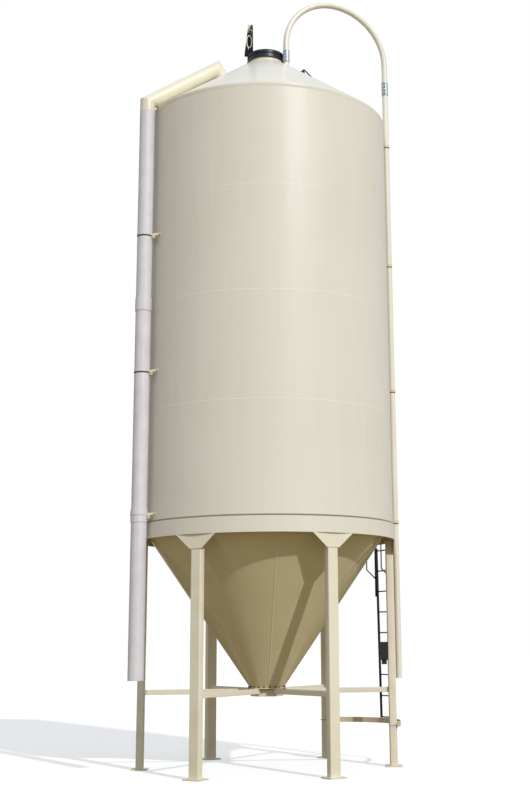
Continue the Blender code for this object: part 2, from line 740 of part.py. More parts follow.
def build_strap(name, angle, circle, radius, height):
    """A band round a pipe with an arm back to the wall."""
    inner = bore_round(radius)
    outer = inner + STRAP_THICKNESS
    band = evaluated_copy(ring(name, outer, inner, -STRAP_WIDTH / 2, STRAP_WIDTH / 2, PIPE_SIDES), name)
    start = BIN_RADIUS - 2 * SHEET - circle
    end = SMALL_OVERLAP - outer * cos(radians(180 / PIPE_SIDES))
    arm = box("arm", (end - start, STRAP_ARM * 2, STRAP_WIDTH), ((end + start) / 2, 0, 0))
    strap = join_solid(band, arm)
    strap.location = polar(circle, angle, height)
    strap.rotation_euler.z = angle
    finish_part(cut(strap, wall_envelope(f"{name}_wall")), CREAM)


# Filling pipe

def fill_line():
    """Where the filling pipe stands in plan: at the neck, and beside the wall."""
    return polar(FILL_NECK_CIRCLE, FILL_NECK_ANGLE), polar(FILL_CIRCLE, FILL_ANGLE)


def gooseneck_points(start, end):
    """Up from the neck, over in two bends, and down beside the wall."""
    span = end - start
    length = span.length
    along = span / length
    outer_bend = length - GOOSENECK_INNER_BEND
    points = [start + Vector((0, 0, sum(FILL_UPPER_COUPLING) / 2 + 0.001))]
    steps = 12
    for step in range(steps + 1):
        turn = radians(90 * step / steps)
        reach = GOOSENECK_INNER_BEND * (1 - cos(turn))
        height = GOOSENECK_TOP - GOOSENECK_INNER_BEND * (1 - sin(turn))
        points.append(start + along * reach + Vector((0, 0, height)))
    for step in range(1, steps + 1):
        turn = radians(90 * step / steps)
        reach = GOOSENECK_INNER_BEND + outer_bend * sin(turn)
        height = GOOSENECK_TOP - outer_bend * (1 - cos(turn))
        points.append(start + along * reach + Vector((0, 0, height)))
    points.append(end + Vector((0, 0, sum(FILL_LOWER_COUPLING) / 2 + 0.001)))
    return points


def build_fill():
    neck, wall_side = fill_line()
    finish_part(smooth(pipe("gooseneck", gooseneck_points(neck, wall_side), FILL_RADIUS, FILL_WALL, 16)), CREAM)
    top = sum(FILL_LOWER_COUPLING) / 2 - 0.001
    up = Vector((0, 0, 1))
    straight = (wall_side + up * FILL_END, wall_side + up * top)
    finish_part(smooth(pipe("fill_pipe", straight, FILL_RADIUS, FILL_WALL, 16)), CREAM)
    stub_top = sum(FILL_UPPER_COUPLING) / 2 - 0.001
    stub_foot = roof_height(FILL_NECK_CIRCLE) - 3 * FILL_RADIUS
    stub = pipe("fill_stub", (neck + up * stub_foot, neck + up * stub_top), FILL_RADIUS, FILL_WALL, 16)
    finish_part(smooth(cut(stub, roof_envelope("stub_roof"))), CREAM)

    build_coupling("fill_coupling_1", neck, FILL_UPPER_COUPLING)
    build_coupling("fill_coupling_2", wall_side, FILL_LOWER_COUPLING)
    for number, height in enumerate(FILL_CLAMPS, 1):
        build_strap(f"fill_clamp_{number}", FILL_ANGLE, FILL_CIRCLE, FILL_RADIUS, height)


def build_coupling(name, centre, span):
    """A split sleeve with a bolting lug down its left side."""
    inner = bore_round(FILL_RADIUS)
    outer = inner + COUPLING_SHEET
    sleeve = evaluated_copy(ring("sleeve", outer, inner, span[0], span[1], PIPE_SIDES), name)
    lug = box("lug", (COUPLING_LUG, COUPLING_LUG_WIDTH, span[1] - span[0]),
              (-outer - COUPLING_LUG / 2 + 0.003, 0, (span[0] + span[1]) / 2))
    coupling = join_solid(sleeve, lug)
    coupling.name = name
    coupling.location = centre
    coupling.rotation_euler.z = COUPLING_LUG_ANGLE
    finish_part(coupling, ZINC, 0.4, 0.8)


# Ladder, bar, rail and box

def ladder_frame(distance):
    """Local X points out from the axis, Y across the ladder, at a distance from the axis."""
    return Matrix.Rotation(LADDER_ANGLE, 4, "Z") @ Matrix.Translation((distance, 0, 0))


def rungs(start, count, half):
    bars = []
    for number in range(count):
        height = start + number * RUNG_SPACING
        bars.append(cylinder("rung", RUNG_RADIUS, (0, -half, height), (0, half, height), 8))
    return bars


def build_wall_ladder():
    """Rails and rungs up the wall, on stand-offs, with two bent struts from the ring."""
    top = EAVE + RUNG_SPACING
    half = LADDER_WIDTH / 2
    rails, bars = [], []
    inside = sqrt(BIN_RADIUS ** 2 - half ** 2) - 2 * SHEET - LADDER_DISTANCE
    for side in (-1, 1):
        y = side * half
        size = (RAIL_WIDTH, RAIL_THICKNESS, top - WALL_LADDER_FOOT)
        rails.append(box("rail", size, (0, y, (top + WALL_LADDER_FOOT) / 2)))
        for height in STANDOFF_HEIGHTS:
            size = (-inside, RAIL_THICKNESS * 0.8, STANDOFF_HEIGHT)
            bars.append(box("standoff", size, (inside / 2, y, height)))
        strut = sqrt(RING_RADIUS ** 2 - half ** 2) + STRUT_ROD - LADDER_DISTANCE
        corners = ((0, y, STRUT_OUTER), (strut, y, STRUT_BEND), (strut, y, STRUT_TOP))
        bars.append(rod("strut", corners, STRUT_ROD, 8))
    first = FIRST_RUNG + LOW_LADDER_RUNGS * RUNG_SPACING
    bars.extend(rungs(first, int((top - first) / RUNG_SPACING) + 1, half))
    ladder = join_solid(islands("wall_ladder", *rails), *bars)
    place(ladder, Matrix.Rotation(LADDER_ANGLE, 4, "Z") @ Matrix.Translation((LADDER_DISTANCE, 0, 0)))
    finish_part(cut(ladder, wall_envelope("ladder_wall")), BLACK)


def build_low_ladder():
    """The lower length, inside the wall ladder's rails, its foot standing on the bar."""
    half = LOW_LADDER_WIDTH / 2
    foot = LADDER_BAR_TOP + SEAT
    length = LOW_LADDER_TOP - foot
    rails = []
    for side in (-1, 1):
        size = (RAIL_WIDTH, RAIL_THICKNESS, length)
        rails.append(box("rail", size, (0, side * half, foot + length / 2)))
    ladder = join_solid(islands("low_ladder", *rails), *rungs(FIRST_RUNG, LOW_LADDER_RUNGS, half))
    lean = Matrix.Identity(4)
    lean[0][2] = -LOW_LADDER_LEAN / length
    shift = Matrix.Translation((LADDER_DISTANCE + LOW_LADDER_LEAN * LOW_LADDER_TOP / length, 0, 0))
    place(ladder, Matrix.Rotation(LADDER_ANGLE, 4, "Z") @ shift @ lean)
    finish_part(ladder, BLACK)


def band_outline(line, thickness):
    """The closed outline of a flat bar bent along a line."""
    sides = []
    for side in (thickness / 2, -thickness / 2):
        edge = []
        for index, point in enumerate(line):
            before = line[max(index - 1, 0)]
            after = line[min(index + 1, len(line) - 1)]
            along = (after - before).normalized()
            edge.append(point + Vector((-along.y, along.x, 0)) * side)
        sides.append(edge)
    return sides[0] + sides[1][::-1]


def build_ladder_bar():
    """The flat bar bowed out under the ladder, with tails on two legs and U-bolts round them."""
    spread = radians(30)
    face = LEG_CIRCLE + LEG_DEPTH / 2 + SEAT + LADDER_BAR_PLATE / 2
    out, along = Vector((cos(spread), sin(spread), 0)), Vector((-sin(spread), cos(spread), 0))
    tail_end = out * face + along * LADDER_BAR_TAIL
    tail_start = out * face - along * (LEG_WIDTH / 2 + BAR_STRAP_ROD * 2)
    bow = LADDER_DISTANCE + LOW_LADDER_LEAN
    sag = bow - tail_start.x
    radius = (tail_start.y ** 2 + sag ** 2) / (2 * sag)
    half_angle = asin(tail_start.y / radius)
    upper = [tail_end, tail_start]
    steps = 10
    for step in range(1, steps + 1):
        turn = half_angle * (1 - step / steps)
        upper.append(Vector((bow - radius * (1 - cos(turn)), radius * sin(turn), 0)))
    lower = [Vector((point.x, -point.y, 0)) for point in upper[-2::-1]]
    bar = plate("ladder_bar", (band_outline(upper + lower, LADDER_BAR_PLATE),), LADDER_BAR_HEIGHT)
    place(bar, Matrix.Rotation(LADDER_ANGLE, 4, "Z") @ Matrix.Translation((0, 0, LADDER_BAR_CENTRE)))
    finish_part(bar, CREAM)

    rod_gap = BAR_STRAP_ROD + SEAT
    side = LEG_WIDTH / 2 + rod_gap
    inner = LEG_FACE - rod_gap
    outer = face - LADDER_BAR_PLATE / 2 - SEAT
    for number, turn in enumerate((-spread, spread), 1):
        corners = ((outer, -side, 0), (inner, -side, 0), (inner, side, 0), (outer, side, 0))
        strap = rod(f"bar_strap_{number}", corners, BAR_STRAP_ROD, 8)
        strap.location = (0, 0, LADDER_BAR_CENTRE)
        strap.rotation_euler.z = LADDER_ANGLE + turn
        finish_part(strap, ZINC, 0.4, 0.8)


def build_handrail():
    """The rail over the roof above the ladder, bent down to the roof at both ends."""
    points = []
    for radius, ends in ((HANDRAIL_FOOT, (-1, 1)), (HANDRAIL_TOP, (1, -1))):
        for end in ends:
            lift = HANDRAIL_RISE if end > 0 else -HANDRAIL_ROD * 2
            points.append(Vector((radius, 0, roof_height(radius) + lift)))
    rail = rod("roof_handrail", points, HANDRAIL_ROD, 8)
    rail.rotation_euler.z = LADDER_ANGLE
    finish_part(cut(rail, roof_envelope("rail_roof")), BLACK)


def build_box():
    """The black box on the inner side of the right leg, with a socket under it."""
    inside = LEG_FACE - SEAT
    centre = Vector((inside - BOX_WIDTH / 2, 0, BOX_BOTTOM + BOX_HEIGHT / 2))
    case = box("black_box", (BOX_WIDTH, BOX_LENGTH, BOX_HEIGHT), centre)
    size = (BOX_SOCKET_WIDTH, BOX_SOCKET_WIDTH, BOX_SOCKET_HEIGHT)
    lift = BOX_BOTTOM - BOX_SOCKET_HEIGHT / 2 + SMALL_OVERLAP
    case = join_solid(case, box("socket", size, (centre.x, 0, lift)))
    case.rotation_euler.z = FIRST_LEG_ANGLE
    finish_part(case, BLACK)


def centre_on_footprint():
    """Moves everything so that the middle of the part's box is over the origin."""
    bpy.context.view_layer.update()
    graph = bpy.context.evaluated_depsgraph_get()
    low, high = Vector((1e9,) * 3), Vector((-1e9,) * 3)
    for item in PARTS.objects:
        if item.type == "EMPTY":
            continue
        mesh = item.evaluated_get(graph).to_mesh()
        for vert in mesh.vertices:
            place_at = item.matrix_world @ vert.co
            low = Vector(map(min, low, place_at))
            high = Vector(map(max, high, place_at))
    shift = (low + high) / -2
    shift.z = 0
    for group in (PARTS, CUTTERS):
        for item in group.objects:
            if item.parent is None:
                item.location += shift
    bpy.context.view_layer.update()


def main():
    build_wall()
    build_ring_band()
    build_roof()
    build_neck_and_collar()
    build_hopper()
    build_hub()
    build_legs()
    build_braces()
    build_lid()
    build_lid_bracket()
    build_vent()
    build_fill()
    build_wall_ladder()
    build_low_ladder()
    build_ladder_bar()
    build_handrail()
    build_box()
    centre_on_footprint()


main()
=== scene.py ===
"""Feed bin: paint, pipe plastic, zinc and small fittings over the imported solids."""
import json
import logging
from dataclasses import dataclass, field
from enum import Enum
from math import cos, pi, radians, sin, tan

import bmesh
import bpy
from mathutils import Matrix, Vector

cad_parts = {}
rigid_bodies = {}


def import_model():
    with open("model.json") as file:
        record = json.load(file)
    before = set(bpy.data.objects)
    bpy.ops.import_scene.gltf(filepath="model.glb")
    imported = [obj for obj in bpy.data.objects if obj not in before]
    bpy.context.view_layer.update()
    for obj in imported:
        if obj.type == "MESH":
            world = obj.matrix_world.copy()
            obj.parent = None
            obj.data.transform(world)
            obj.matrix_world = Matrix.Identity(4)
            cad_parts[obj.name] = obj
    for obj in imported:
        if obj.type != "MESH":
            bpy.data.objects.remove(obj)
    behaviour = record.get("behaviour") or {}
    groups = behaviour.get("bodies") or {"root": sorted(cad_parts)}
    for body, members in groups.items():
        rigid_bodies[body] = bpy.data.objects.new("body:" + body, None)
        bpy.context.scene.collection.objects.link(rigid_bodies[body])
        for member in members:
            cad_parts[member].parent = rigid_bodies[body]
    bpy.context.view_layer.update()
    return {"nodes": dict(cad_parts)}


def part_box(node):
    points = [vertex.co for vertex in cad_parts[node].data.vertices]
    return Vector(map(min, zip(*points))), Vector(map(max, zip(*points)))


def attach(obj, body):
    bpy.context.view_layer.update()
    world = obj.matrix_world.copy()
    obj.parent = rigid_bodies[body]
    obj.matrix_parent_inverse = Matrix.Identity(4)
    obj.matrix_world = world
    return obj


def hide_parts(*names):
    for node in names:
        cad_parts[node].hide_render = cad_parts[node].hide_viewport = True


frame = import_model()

LOG = logging.getLogger("feed_bin")
Material = bpy.types.Material
Piece = bpy.types.Object
Shape = bmesh.types.BMesh
Socket = bpy.types.NodeSocket
Tree = bpy.types.NodeTree
Colour = tuple[float, float, float, float]
Span = tuple[float, float]
Spot = tuple[float, float, float]
UP = Vector((0, 0, 1))
WHITE: Colour = (1, 1, 1, 1)
# Vertices nearer than this are merged, facets flatter are joined, and sharper edges can be rounded
MERGE_DISTANCE = 0.00005
FLAT_ANGLE = radians(0.5)
ROUNDED_ANGLE = radians(40)
# From where an edge is shaded sharp on a copy of a solid and on a piece that is added
SOLID_ANGLE = radians(28)
ADDED_ANGLE = radians(35)
# How far welds sink into a sheet, and beads and the sleeves of painted shadow under straps stay clear of the
# sheet or strap next to them
WELD_SINK = 0.001
SHEET_GAP = 0.0002
SLEEVE_GAP = 0.0005


class Body(Enum):
    """The rigid bodies that pieces ride on."""

    BIN = "bin"
    LID = "lid"


class Slot(Enum):
    """The record's material slots."""

    CREAM = "cream_paint"
    BLACK = "black_paint"
    ZINC = "zinc"


# Node materials

def linear(code: str) -> Colour:
    """Turn an sRGB hex code to a linear colour.

    Args:
        code: Six hex digits, with or without a leading hash.

    Returns:
        Linear red, green and blue, with an alpha of one.
    """
    digits = code.lstrip("#")
    channels = [int(digits[index:index + 2], 16) / 255 for index in (0, 2, 4)]
    spread = [value / 12.92 if value <= 0.04045 else ((value + 0.055) / 1.055) ** 2.4 for value in channels]
    return (spread[0], spread[1], spread[2], 1.0)


def fill_inputs(tree: Tree, node: bpy.types.Node, inputs: dict) -> None:
    """Set a node's inputs, or link them.

    Args:
        tree: The node's tree.
        node: The node.
        inputs: Input values, or output sockets to link from, by input name or index.
    """
    for name, value in inputs.items():
        if isinstance(value, Socket):
            tree.links.new(value, node.inputs[name])
        else:
            node.inputs[name].default_value = value


def add_node(tree: Tree, kind: str, settings: dict | None = None,
             inputs: dict | None = None) -> bpy.types.Node:
    """Add a node with its settings, input values and links.

    Args:
        tree: The node tree that gets the node.
        kind: The node's type name.
        settings: Attribute values of the node.
        inputs: Input values, or output sockets to link from, by input name or index.

    Returns:
        The new node.
    """
    node = tree.nodes.new(kind)
    for name, value in (settings or {}).items():
        setattr(node, name, value)
    fill_inputs(tree, node, inputs or {})
    return node


def new_material(name: str) -> tuple[Material, Tree, bpy.types.Node]:
    """Make a material that holds one Principled shader.

    Args:
        name: The material's name.

    Returns:
        The material, its node tree and its shader.
    """
    material = bpy.data.materials.new(name)
    material.use_nodes = True
    tree = material.node_tree
    return material, tree, tree.nodes["Principled BSDF"]


def pattern_space(tree: Tree, stretch: Spot = (1, 1, 1)) -> Socket:
    """Give object coordinates in metres, stretched along the axes.

    Args:
        tree: The node tree that gets the nodes.
        stretch: Scale of the coordinates along X, Y and Z.

    Returns:
        The vector socket to read patterns with.
    """
    place = add_node(tree, "ShaderNodeTexCoord")
    mapping = add_node(tree, "ShaderNodeMapping", inputs={
        "Vector": place.outputs["Object"], "Scale": stretch})
    return mapping.outputs["Vector"]


def per_metre(millimetres: float) -> float:
    """Return the texture scale that repeats about once in a real size in millimetres."""
    return 1000 / millimetres


def add_noise(tree: Tree, space: Socket, millimetres: float, detail: float,
              roughness: float = 0.5) -> Socket:
    """Add a noise pattern of a real size.

    Args:
        tree: The node tree that gets the node.
        space: The coordinates that the pattern is read with.
        millimetres: The size of its patches.
        detail: How many finer layers it has.
        roughness: How strong the finer layers are.

    Returns:
        The pattern's socket.
    """
    return add_node(tree, "ShaderNodeTexNoise", inputs={
        "Vector": space, "Scale": per_metre(millimetres), "Detail": detail,
        "Roughness": roughness}).outputs["Fac"]


def add_range(tree: Tree, value: Socket, source: Span = (0, 1),
              target: Span = (0, 1)) -> Socket:
    """Add a node that stretches one range of values to another.

    Args:
        tree: The node tree that gets the node.
        value: The socket of the value.
        source: The range that is stretched, beyond which the value is held.
        target: The range that comes out.

    Returns:
        The result's socket.
    """
    return add_node(tree, "ShaderNodeMapRange", inputs={
        "Value": value, "From Min": source[0], "From Max": source[1],
        "To Min": target[0], "To Max": target[1]}).outputs["Result"]


def add_maths(tree: Tree, operation: str, first: Socket,
              second: Socket, clamp: bool = False) -> Socket:
    """Add a sum, product or the like of two values.

    Args:
        tree: The node tree that gets the node.
        operation: The operation's name.
        first: The first value's socket.
        second: The second value's socket.
        clamp: Whether the result is held between zero and one.

    Returns:
        The result's socket.
    """
    return add_node(tree, "ShaderNodeMath", {"operation": operation, "use_clamp": clamp},
                    {0: first, 1: second}).outputs[0]


def add_tint(tree: Tree, amount: Socket, first: str,
             second: str) -> Socket:
    """Add a blend of two colours, whose sockets on a mix node are its inputs 6 and 7 and its output 2.

    Args:
        tree: The node tree that gets the node.
        amount: The socket that says how much of the second colour there is.
        first: The first colour's hex code.
        second: The second colour's hex code.

    Returns:
        The blend's socket.
    """
    return add_node(tree, "ShaderNodeMix", {"data_type": "RGBA"}, {
        0: amount, 6: linear(first), 7: linear(second)}).outputs[2]


def add_relief(tree: Tree, height: Socket, strength: float,
               distance: float) -> Socket:
    """Add a fine relief to shade with.

    Args:
        tree: The node tree that gets the node.
        height: The socket of the pattern.
        strength: How strongly it shows.
        distance: How deep it is, in metres.

    Returns:
        The normal's socket.
    """
    return add_node(tree, "ShaderNodeBump", inputs={
        "Height": height, "Strength": strength, "Distance": distance}).outputs["Normal"]


@dataclass(frozen=True)
class BakedEnamel:
    """Cream baked enamel on rolled steel: an even satin skin with faint run-off marks and soft waves."""

    name: str = "cream_baked_enamel"
    colour: str = "#DDD8CB"
    shade: str = "#D8D2C3"
    roughness: float = 0.42
    shinier: float = 0.06
    duller: float = 0.08
    cloud_mm: float = 1400
    streak_mm: float = 110
    streak_stretch: float = 0.06
    shaded: Span = (0.12, 0.45)
    wave_mm: float = 420
    wave_height: float = 0.0008
    wave_strength: float = 0.35
    coat: float = 0.15
    coat_roughness: float = 0.25

    def build(self) -> Material:
        """Build the enamel.

        Returns:
            Its material.
        """
        material, tree, shader = new_material(self.name)
        even = pattern_space(tree)
        upright = pattern_space(tree, (1, 1, self.streak_stretch))
        clouds = add_noise(tree, even, self.cloud_mm, detail=3)
        streaks = add_noise(tree, upright, self.streak_mm, detail=4, roughness=0.6)
        amount = add_range(tree, add_maths(tree, "MULTIPLY", clouds, streaks), self.shaded)
        waves = add_noise(tree, even, self.wave_mm, detail=1)
        fill_inputs(tree, shader, {
            "Base Color": add_tint(tree, amount, self.colour, self.shade),
            "Roughness": add_range(tree, streaks, target=(
                self.roughness - self.shinier, self.roughness + self.duller)),
            "Normal": add_relief(tree, waves, self.wave_strength, self.wave_height),
            "Coat Weight": self.coat, "Coat Roughness": self.coat_roughness})
        return material


@dataclass(frozen=True)
class SplashedEnamel:
    """The same enamel low on the bin: warmer and duller with dust, thicker in patches and near the ground."""

    name: str = "dusty_cream_enamel"
    colour: str = "#D8CDB0"
    dust: str = "#B9A67C"
    roughness: float = 0.55
    shinier: float = 0.08
    duller: float = 0.25
    patch_mm: float = 380
    patched: Span = (0.42, 0.75)
    patch_dust: float = 0.5
    speck_mm: float = 25
    speck_height: float = 0.0004
    speck_strength: float = 0.12
    clean_height: float = 1.1
    ground_dust: float = 0.45
    gloss: float = 0.0
    gloss_roughness: float = 0.06

    def build(self) -> Material:
        """Build the dusty enamel.

        Returns:
            Its material.
        """
        material, tree, shader = new_material(self.name)
        space = pattern_space(tree)
        patches = add_noise(tree, space, self.patch_mm, detail=5, roughness=0.6)
        specks = add_noise(tree, space, self.speck_mm, detail=2)
        height = add_node(tree, "ShaderNodeSeparateXYZ", inputs={"Vector": space}).outputs["Z"]
        low = add_range(tree, height, (0, self.clean_height), (self.ground_dust, 0))
        patchy = add_range(tree, patches, self.patched, (0, self.patch_dust))
        grown = add_maths(tree, "ADD", low, patchy)
        amount = add_maths(tree, "MULTIPLY", grown, specks, clamp=True)
        fill_inputs(tree, shader, {
            "Base Color": add_tint(tree, amount, self.colour, self.dust),
            "Roughness": add_range(tree, amount, target=(
                self.roughness - self.shinier, self.roughness + self.duller)),
            "Normal": add_relief(tree, specks, self.speck_strength, self.speck_height),
            "Coat Weight": self.gloss, "Coat Roughness": self.gloss_roughness})
        return material


@dataclass(frozen=True)
class WeatheredPipePlastic:
    """Grey extruded pipe plastic, chalked by the sun: dull, a little mottled, with long draw lines."""

    name: str = "grey_pipe_plastic"
    colour: str = "#DAD7DC"
    shade: str = "#C9C5CB"
    roughness: float = 0.5
    mottle_mm: float = 260
    line_mm: float = 14
    line_stretch: float = 0.02
    line_height: float = 0.0005
    line_strength: float = 0.15
    shaded: Span = (0.12, 0.42)

    def build(self) -> Material:
        """Build the plastic.

        Returns:
            Its material.
        """
        material, tree, shader = new_material(self.name)
        mottle = add_noise(tree, pattern_space(tree), self.mottle_mm, detail=4)
        lines = add_noise(tree, pattern_space(tree, (1, 1, self.line_stretch)), self.line_mm, detail=2)
        amount = add_range(tree, add_maths(tree, "MULTIPLY", mottle, lines), self.shaded)
        fill_inputs(tree, shader, {
            "Base Color": add_tint(tree, amount, self.colour, self.shade),
            "Roughness": self.roughness,
            "Normal": add_relief(tree, lines, self.line_strength, self.line_height)})
        return material


@dataclass(frozen=True)
class BlackCoat:
    """Black powder coat on steel: a fine pebbled skin that turns blue-grey where it is worn."""

    name: str = "black_powder_coat"
    colour: str = "#0C1119"
    worn: str = "#1B2636"
    roughness: float = 0.38
    pebble_mm: float = 6
    pebble_height: float = 0.0004
    pebble_strength: float = 0.2
    wear_mm: float = 120
    wear: Span = (0.45, 0.7)

    def build(self) -> Material:
        """Build the coat.

        Returns:
            Its material.
        """
        material, tree, shader = new_material(self.name)
        space = pattern_space(tree)
        pebble = add_noise(tree, space, self.pebble_mm, detail=2)
        amount = add_range(tree, add_noise(tree, space, self.wear_mm, detail=4), self.wear)
        fill_inputs(tree, shader, {
            "Base Color": add_tint(tree, amount, self.colour, self.worn),
            "Roughness": self.roughness,
            "Normal": add_relief(tree, pebble, self.pebble_strength, self.pebble_height)})
        return material


@dataclass(frozen=True)
class HotDipZinc:
    """Hot-dip galvanised steel: pale blue-grey metal in flat spangles of slightly different shine."""

    name: str = "hot_dip_zinc"
    colour: str = "#C6CFD6"
    dark: str = "#A6B3BE"
    roughness: float = 0.46
    spread: float = 0.1
    metallic: float = 0.5
    spangle_mm: float = 12

    def build(self) -> Material:
        """Build the zinc.

        Returns:
            Its material.
        """
        material, tree, shader = new_material(self.name)
        cells = add_node(tree, "ShaderNodeTexVoronoi", inputs={
            "Vector": pattern_space(tree), "Scale": per_metre(self.spangle_mm)})
        pick = add_node(tree, "ShaderNodeSeparateColor", inputs={"Color": cells.outputs["Color"]})
        fill_inputs(tree, shader, {
            "Base Color": add_tint(tree, pick.outputs[0], self.colour, self.dark),
            "Roughness": add_range(tree, pick.outputs[1], target=(
                self.roughness - self.spread, self.roughness + self.spread)),
            "Metallic": self.metallic})
        return material


@dataclass(frozen=True)
class DustyMatte:
    """Dull matter mottled with dust: a bead of grey-brown sealant, or by its values rusty steel or the
    painted shadow under a strap.
    """

    name: str = "sealant_bead"
    colour: str = "#8D8168"
    dust: str = "#6F6450"
    roughness: float = 0.8
    dust_mm: float = 40

    def build(self) -> Material:
        """Build the dusty matter.

        Returns:
            Its material.
        """
        material, tree, shader = new_material(self.name)
        dust = add_noise(tree, pattern_space(tree), self.dust_mm, detail=3)
        fill_inputs(tree, shader, {
            "Base Color": add_tint(tree, dust, self.colour, self.dust), "Roughness": self.roughness})
        return material


@dataclass(frozen=True)
class MouldedPlastic:
    """Black moulded plastic of an electrical box, with a fine spark-eroded grain."""

    name: str = "black_moulded_plastic"
    colour: str = "#121316"
    roughness: float = 0.55
    grain_mm: float = 2
    grain_height: float = 0.0003
    grain_strength: float = 0.3

    def build(self) -> Material:
        """Build the plastic.

        Returns:
            Its material.
        """
        material, tree, shader = new_material(self.name)
        grain = add_noise(tree, pattern_space(tree), self.grain_mm, detail=1)
        fill_inputs(tree, shader, {
            "Base Color": linear(self.colour), "Roughness": self.roughness,
            "Normal": add_relief(tree, grain, self.grain_strength, self.grain_height)})
        return material


@dataclass
class Palette:
    """The object's finishes, each built once."""

    wall: Material = field(default_factory=BakedEnamel().build)
    roof: Material = field(default_factory=BakedEnamel(
        "pale_roof_enamel", "#E8E4D9", "#E1DCCF", roughness=0.24).build)
    duct: Material = field(default_factory=BakedEnamel(
        "warm_cream_duct_enamel", "#E6E0CA", "#DCD4BA", roughness=0.35).build)
    tube: Material = field(default_factory=BakedEnamel(
        "pale_tube_enamel", "#E6E1D2", "#DBD5C4", roughness=0.35).build)
    # Paler than the wall's enamel: a painted highlight on the weld beads, and painted light in the shade
    # under the roof's lip; the lid's wire and pull loop are in it too.
    bead: Material = field(default_factory=BakedEnamel(
        "pale_painted_highlight_enamel", "#EAE6DA", "#E2DCCC", roughness=0.40).build)
    low: Material = field(default_factory=SplashedEnamel().build)
    leg: Material = field(default_factory=SplashedEnamel(
        "splashed_leg_enamel", "#E1DAC6", "#C6B892", roughness=0.48, patch_mm=300).build)
    # Darker and yellower than the other enamels: painted shade under the band and painted warm ground bounce,
    # with dust patches over it.
    cone: Material = field(default_factory=SplashedEnamel(
        "dusty_shade_darkened_cone_enamel", "#D2C6A4", "#BDAC7F", roughness=0.45, patch_mm=520, clean_height=1.4,
        gloss=0.9).build)
    nuts: Material = field(default_factory=DustyMatte(
        "rusty_nut_steel", "#6E5C42", "#3C3227", roughness=0.6, dust_mm=12).build)
    fixing: Material = field(default_factory=BakedEnamel(
        "cream_bracket_enamel", "#DDD2B0", "#CFC197", roughness=0.40).build)
    pipe: Material = field(default_factory=WeatheredPipePlastic().build)
    black: Material = field(default_factory=BlackCoat().build)
    zinc: Material = field(default_factory=HotDipZinc().build)
    sealant: Material = field(default_factory=DustyMatte().build)
    # Dark sleeves under the pipe straps and clamps: a painted shadow of each strap.
    shadow_ring: Material = field(default_factory=DustyMatte(
        "painted_strap_shadow", "#4A4130", "#39301F", roughness=0.7, dust_mm=15).build)
    plastic: Material = field(default_factory=MouldedPlastic().build)


# Mesh tools

def shade_by_angle(mesh: bpy.types.Mesh, angle: float) -> None:
    """Shade a mesh smooth apart from edges sharper than an angle."""
    mesh.shade_smooth()
    mesh.set_sharp_from_angle(angle=angle)


def resurface(node: str, material: Material, edge: float = 0.0,
              body: Body = Body.BIN) -> Piece:
    """Stand a merged, smoothly shaded copy in for a CAD node.

    Args:
        node: The CAD node's name.
        material: The finish of the copy.
        edge: Width of a rounded edge, or zero for none.
        body: The body that the node moves with.

    Returns:
        The new piece.
    """
    mesh = frame["nodes"][node].data.copy()
    shape = bmesh.new()
    shape.from_mesh(mesh)
    bmesh.ops.remove_doubles(shape, verts=shape.verts, dist=MERGE_DISTANCE)
    bmesh.ops.dissolve_limit(shape, angle_limit=FLAT_ANGLE, verts=shape.verts, edges=shape.edges)
    shape.to_mesh(mesh)
    shape.free()
    shade_by_angle(mesh, SOLID_ANGLE)
    piece = bpy.data.objects.new(f"{node}_surface", mesh)
    bpy.context.scene.collection.objects.link(piece)
    mesh.materials.clear()
    mesh.materials.append(material)
    if edge:
        rounding = piece.modifiers.new("rounded_edges", "BEVEL")
        rounding.width = edge
        rounding.segments = 2
        rounding.limit_method = "ANGLE"
        rounding.angle_limit = ROUNDED_ANGLE
        rounding.harden_normals = True
    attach(piece, body.value)
    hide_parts(node)
    return piece


def make_piece(shape: Shape, name: str, material: Material,
               body: Body = Body.BIN) -> Piece:
    """Turn a finished bmesh into a piece that rides on a body.

    Args:
        shape: The bmesh, which is freed.
        name: The piece's name.
        material: Its finish.
        body: The body that it moves with.

    Returns:
        The new piece.
    """
    bmesh.ops.recalc_face_normals(shape, faces=shape.faces)
    mesh = bpy.data.meshes.new(name)
    shape.to_mesh(mesh)
    shape.free()
    shade_by_angle(mesh, ADDED_ANGLE)
    mesh.materials.append(material)
    piece = bpy.data.objects.new(name, mesh)
    bpy.context.scene.collection.objects.link(piece)
    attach(piece, body.value)
    return piece


def facing(direction: Vector, place: Vector) -> Matrix:
    """Return the matrix that turns +Z to a direction and moves the origin to a place."""
    return Matrix.Translation(place) @ direction.to_track_quat("Z", "Y").to_matrix().to_4x4()


def links_of(corners: list[bmesh.types.BMVert]) -> list[bmesh.types.BMEdge]:
    """Return every edge that meets one of some corners, once."""
    return list({link for corner in corners for link in corner.link_edges})


def add_prism(shape: Shape, radius: float, depth: float, place: Matrix, sides: int,
              edge: float = 0.0) -> None:
    """Add a cylinder or hexagon that stands on a place.

    Args:
        shape: The bmesh that gets it.
        radius: Its radius.
        depth: Its height along the place's Z axis.
        place: Where its foot's centre lies and which way it stands.
        sides: How many sides it has.
        edge: Width of its chamfered top edge, or zero.
    """
    made = bmesh.ops.create_cone(shape, cap_ends=True, segments=sides, radius1=radius, radius2=radius,
                                 depth=depth, matrix=place @ Matrix.Translation((0, 0, depth / 2)))["verts"]
    if edge:
        normal = (place.to_3x3() @ UP).normalized()
        top = [corner for corner in made if (corner.co - place.translation).dot(normal) > depth / 2]
        rim = [link for link in links_of(top) if all(corner in top for corner in link.verts)]
        bmesh.ops.bevel(shape, geom=rim, offset=edge, segments=1, profile=0.5, affect="EDGES", material=-1)


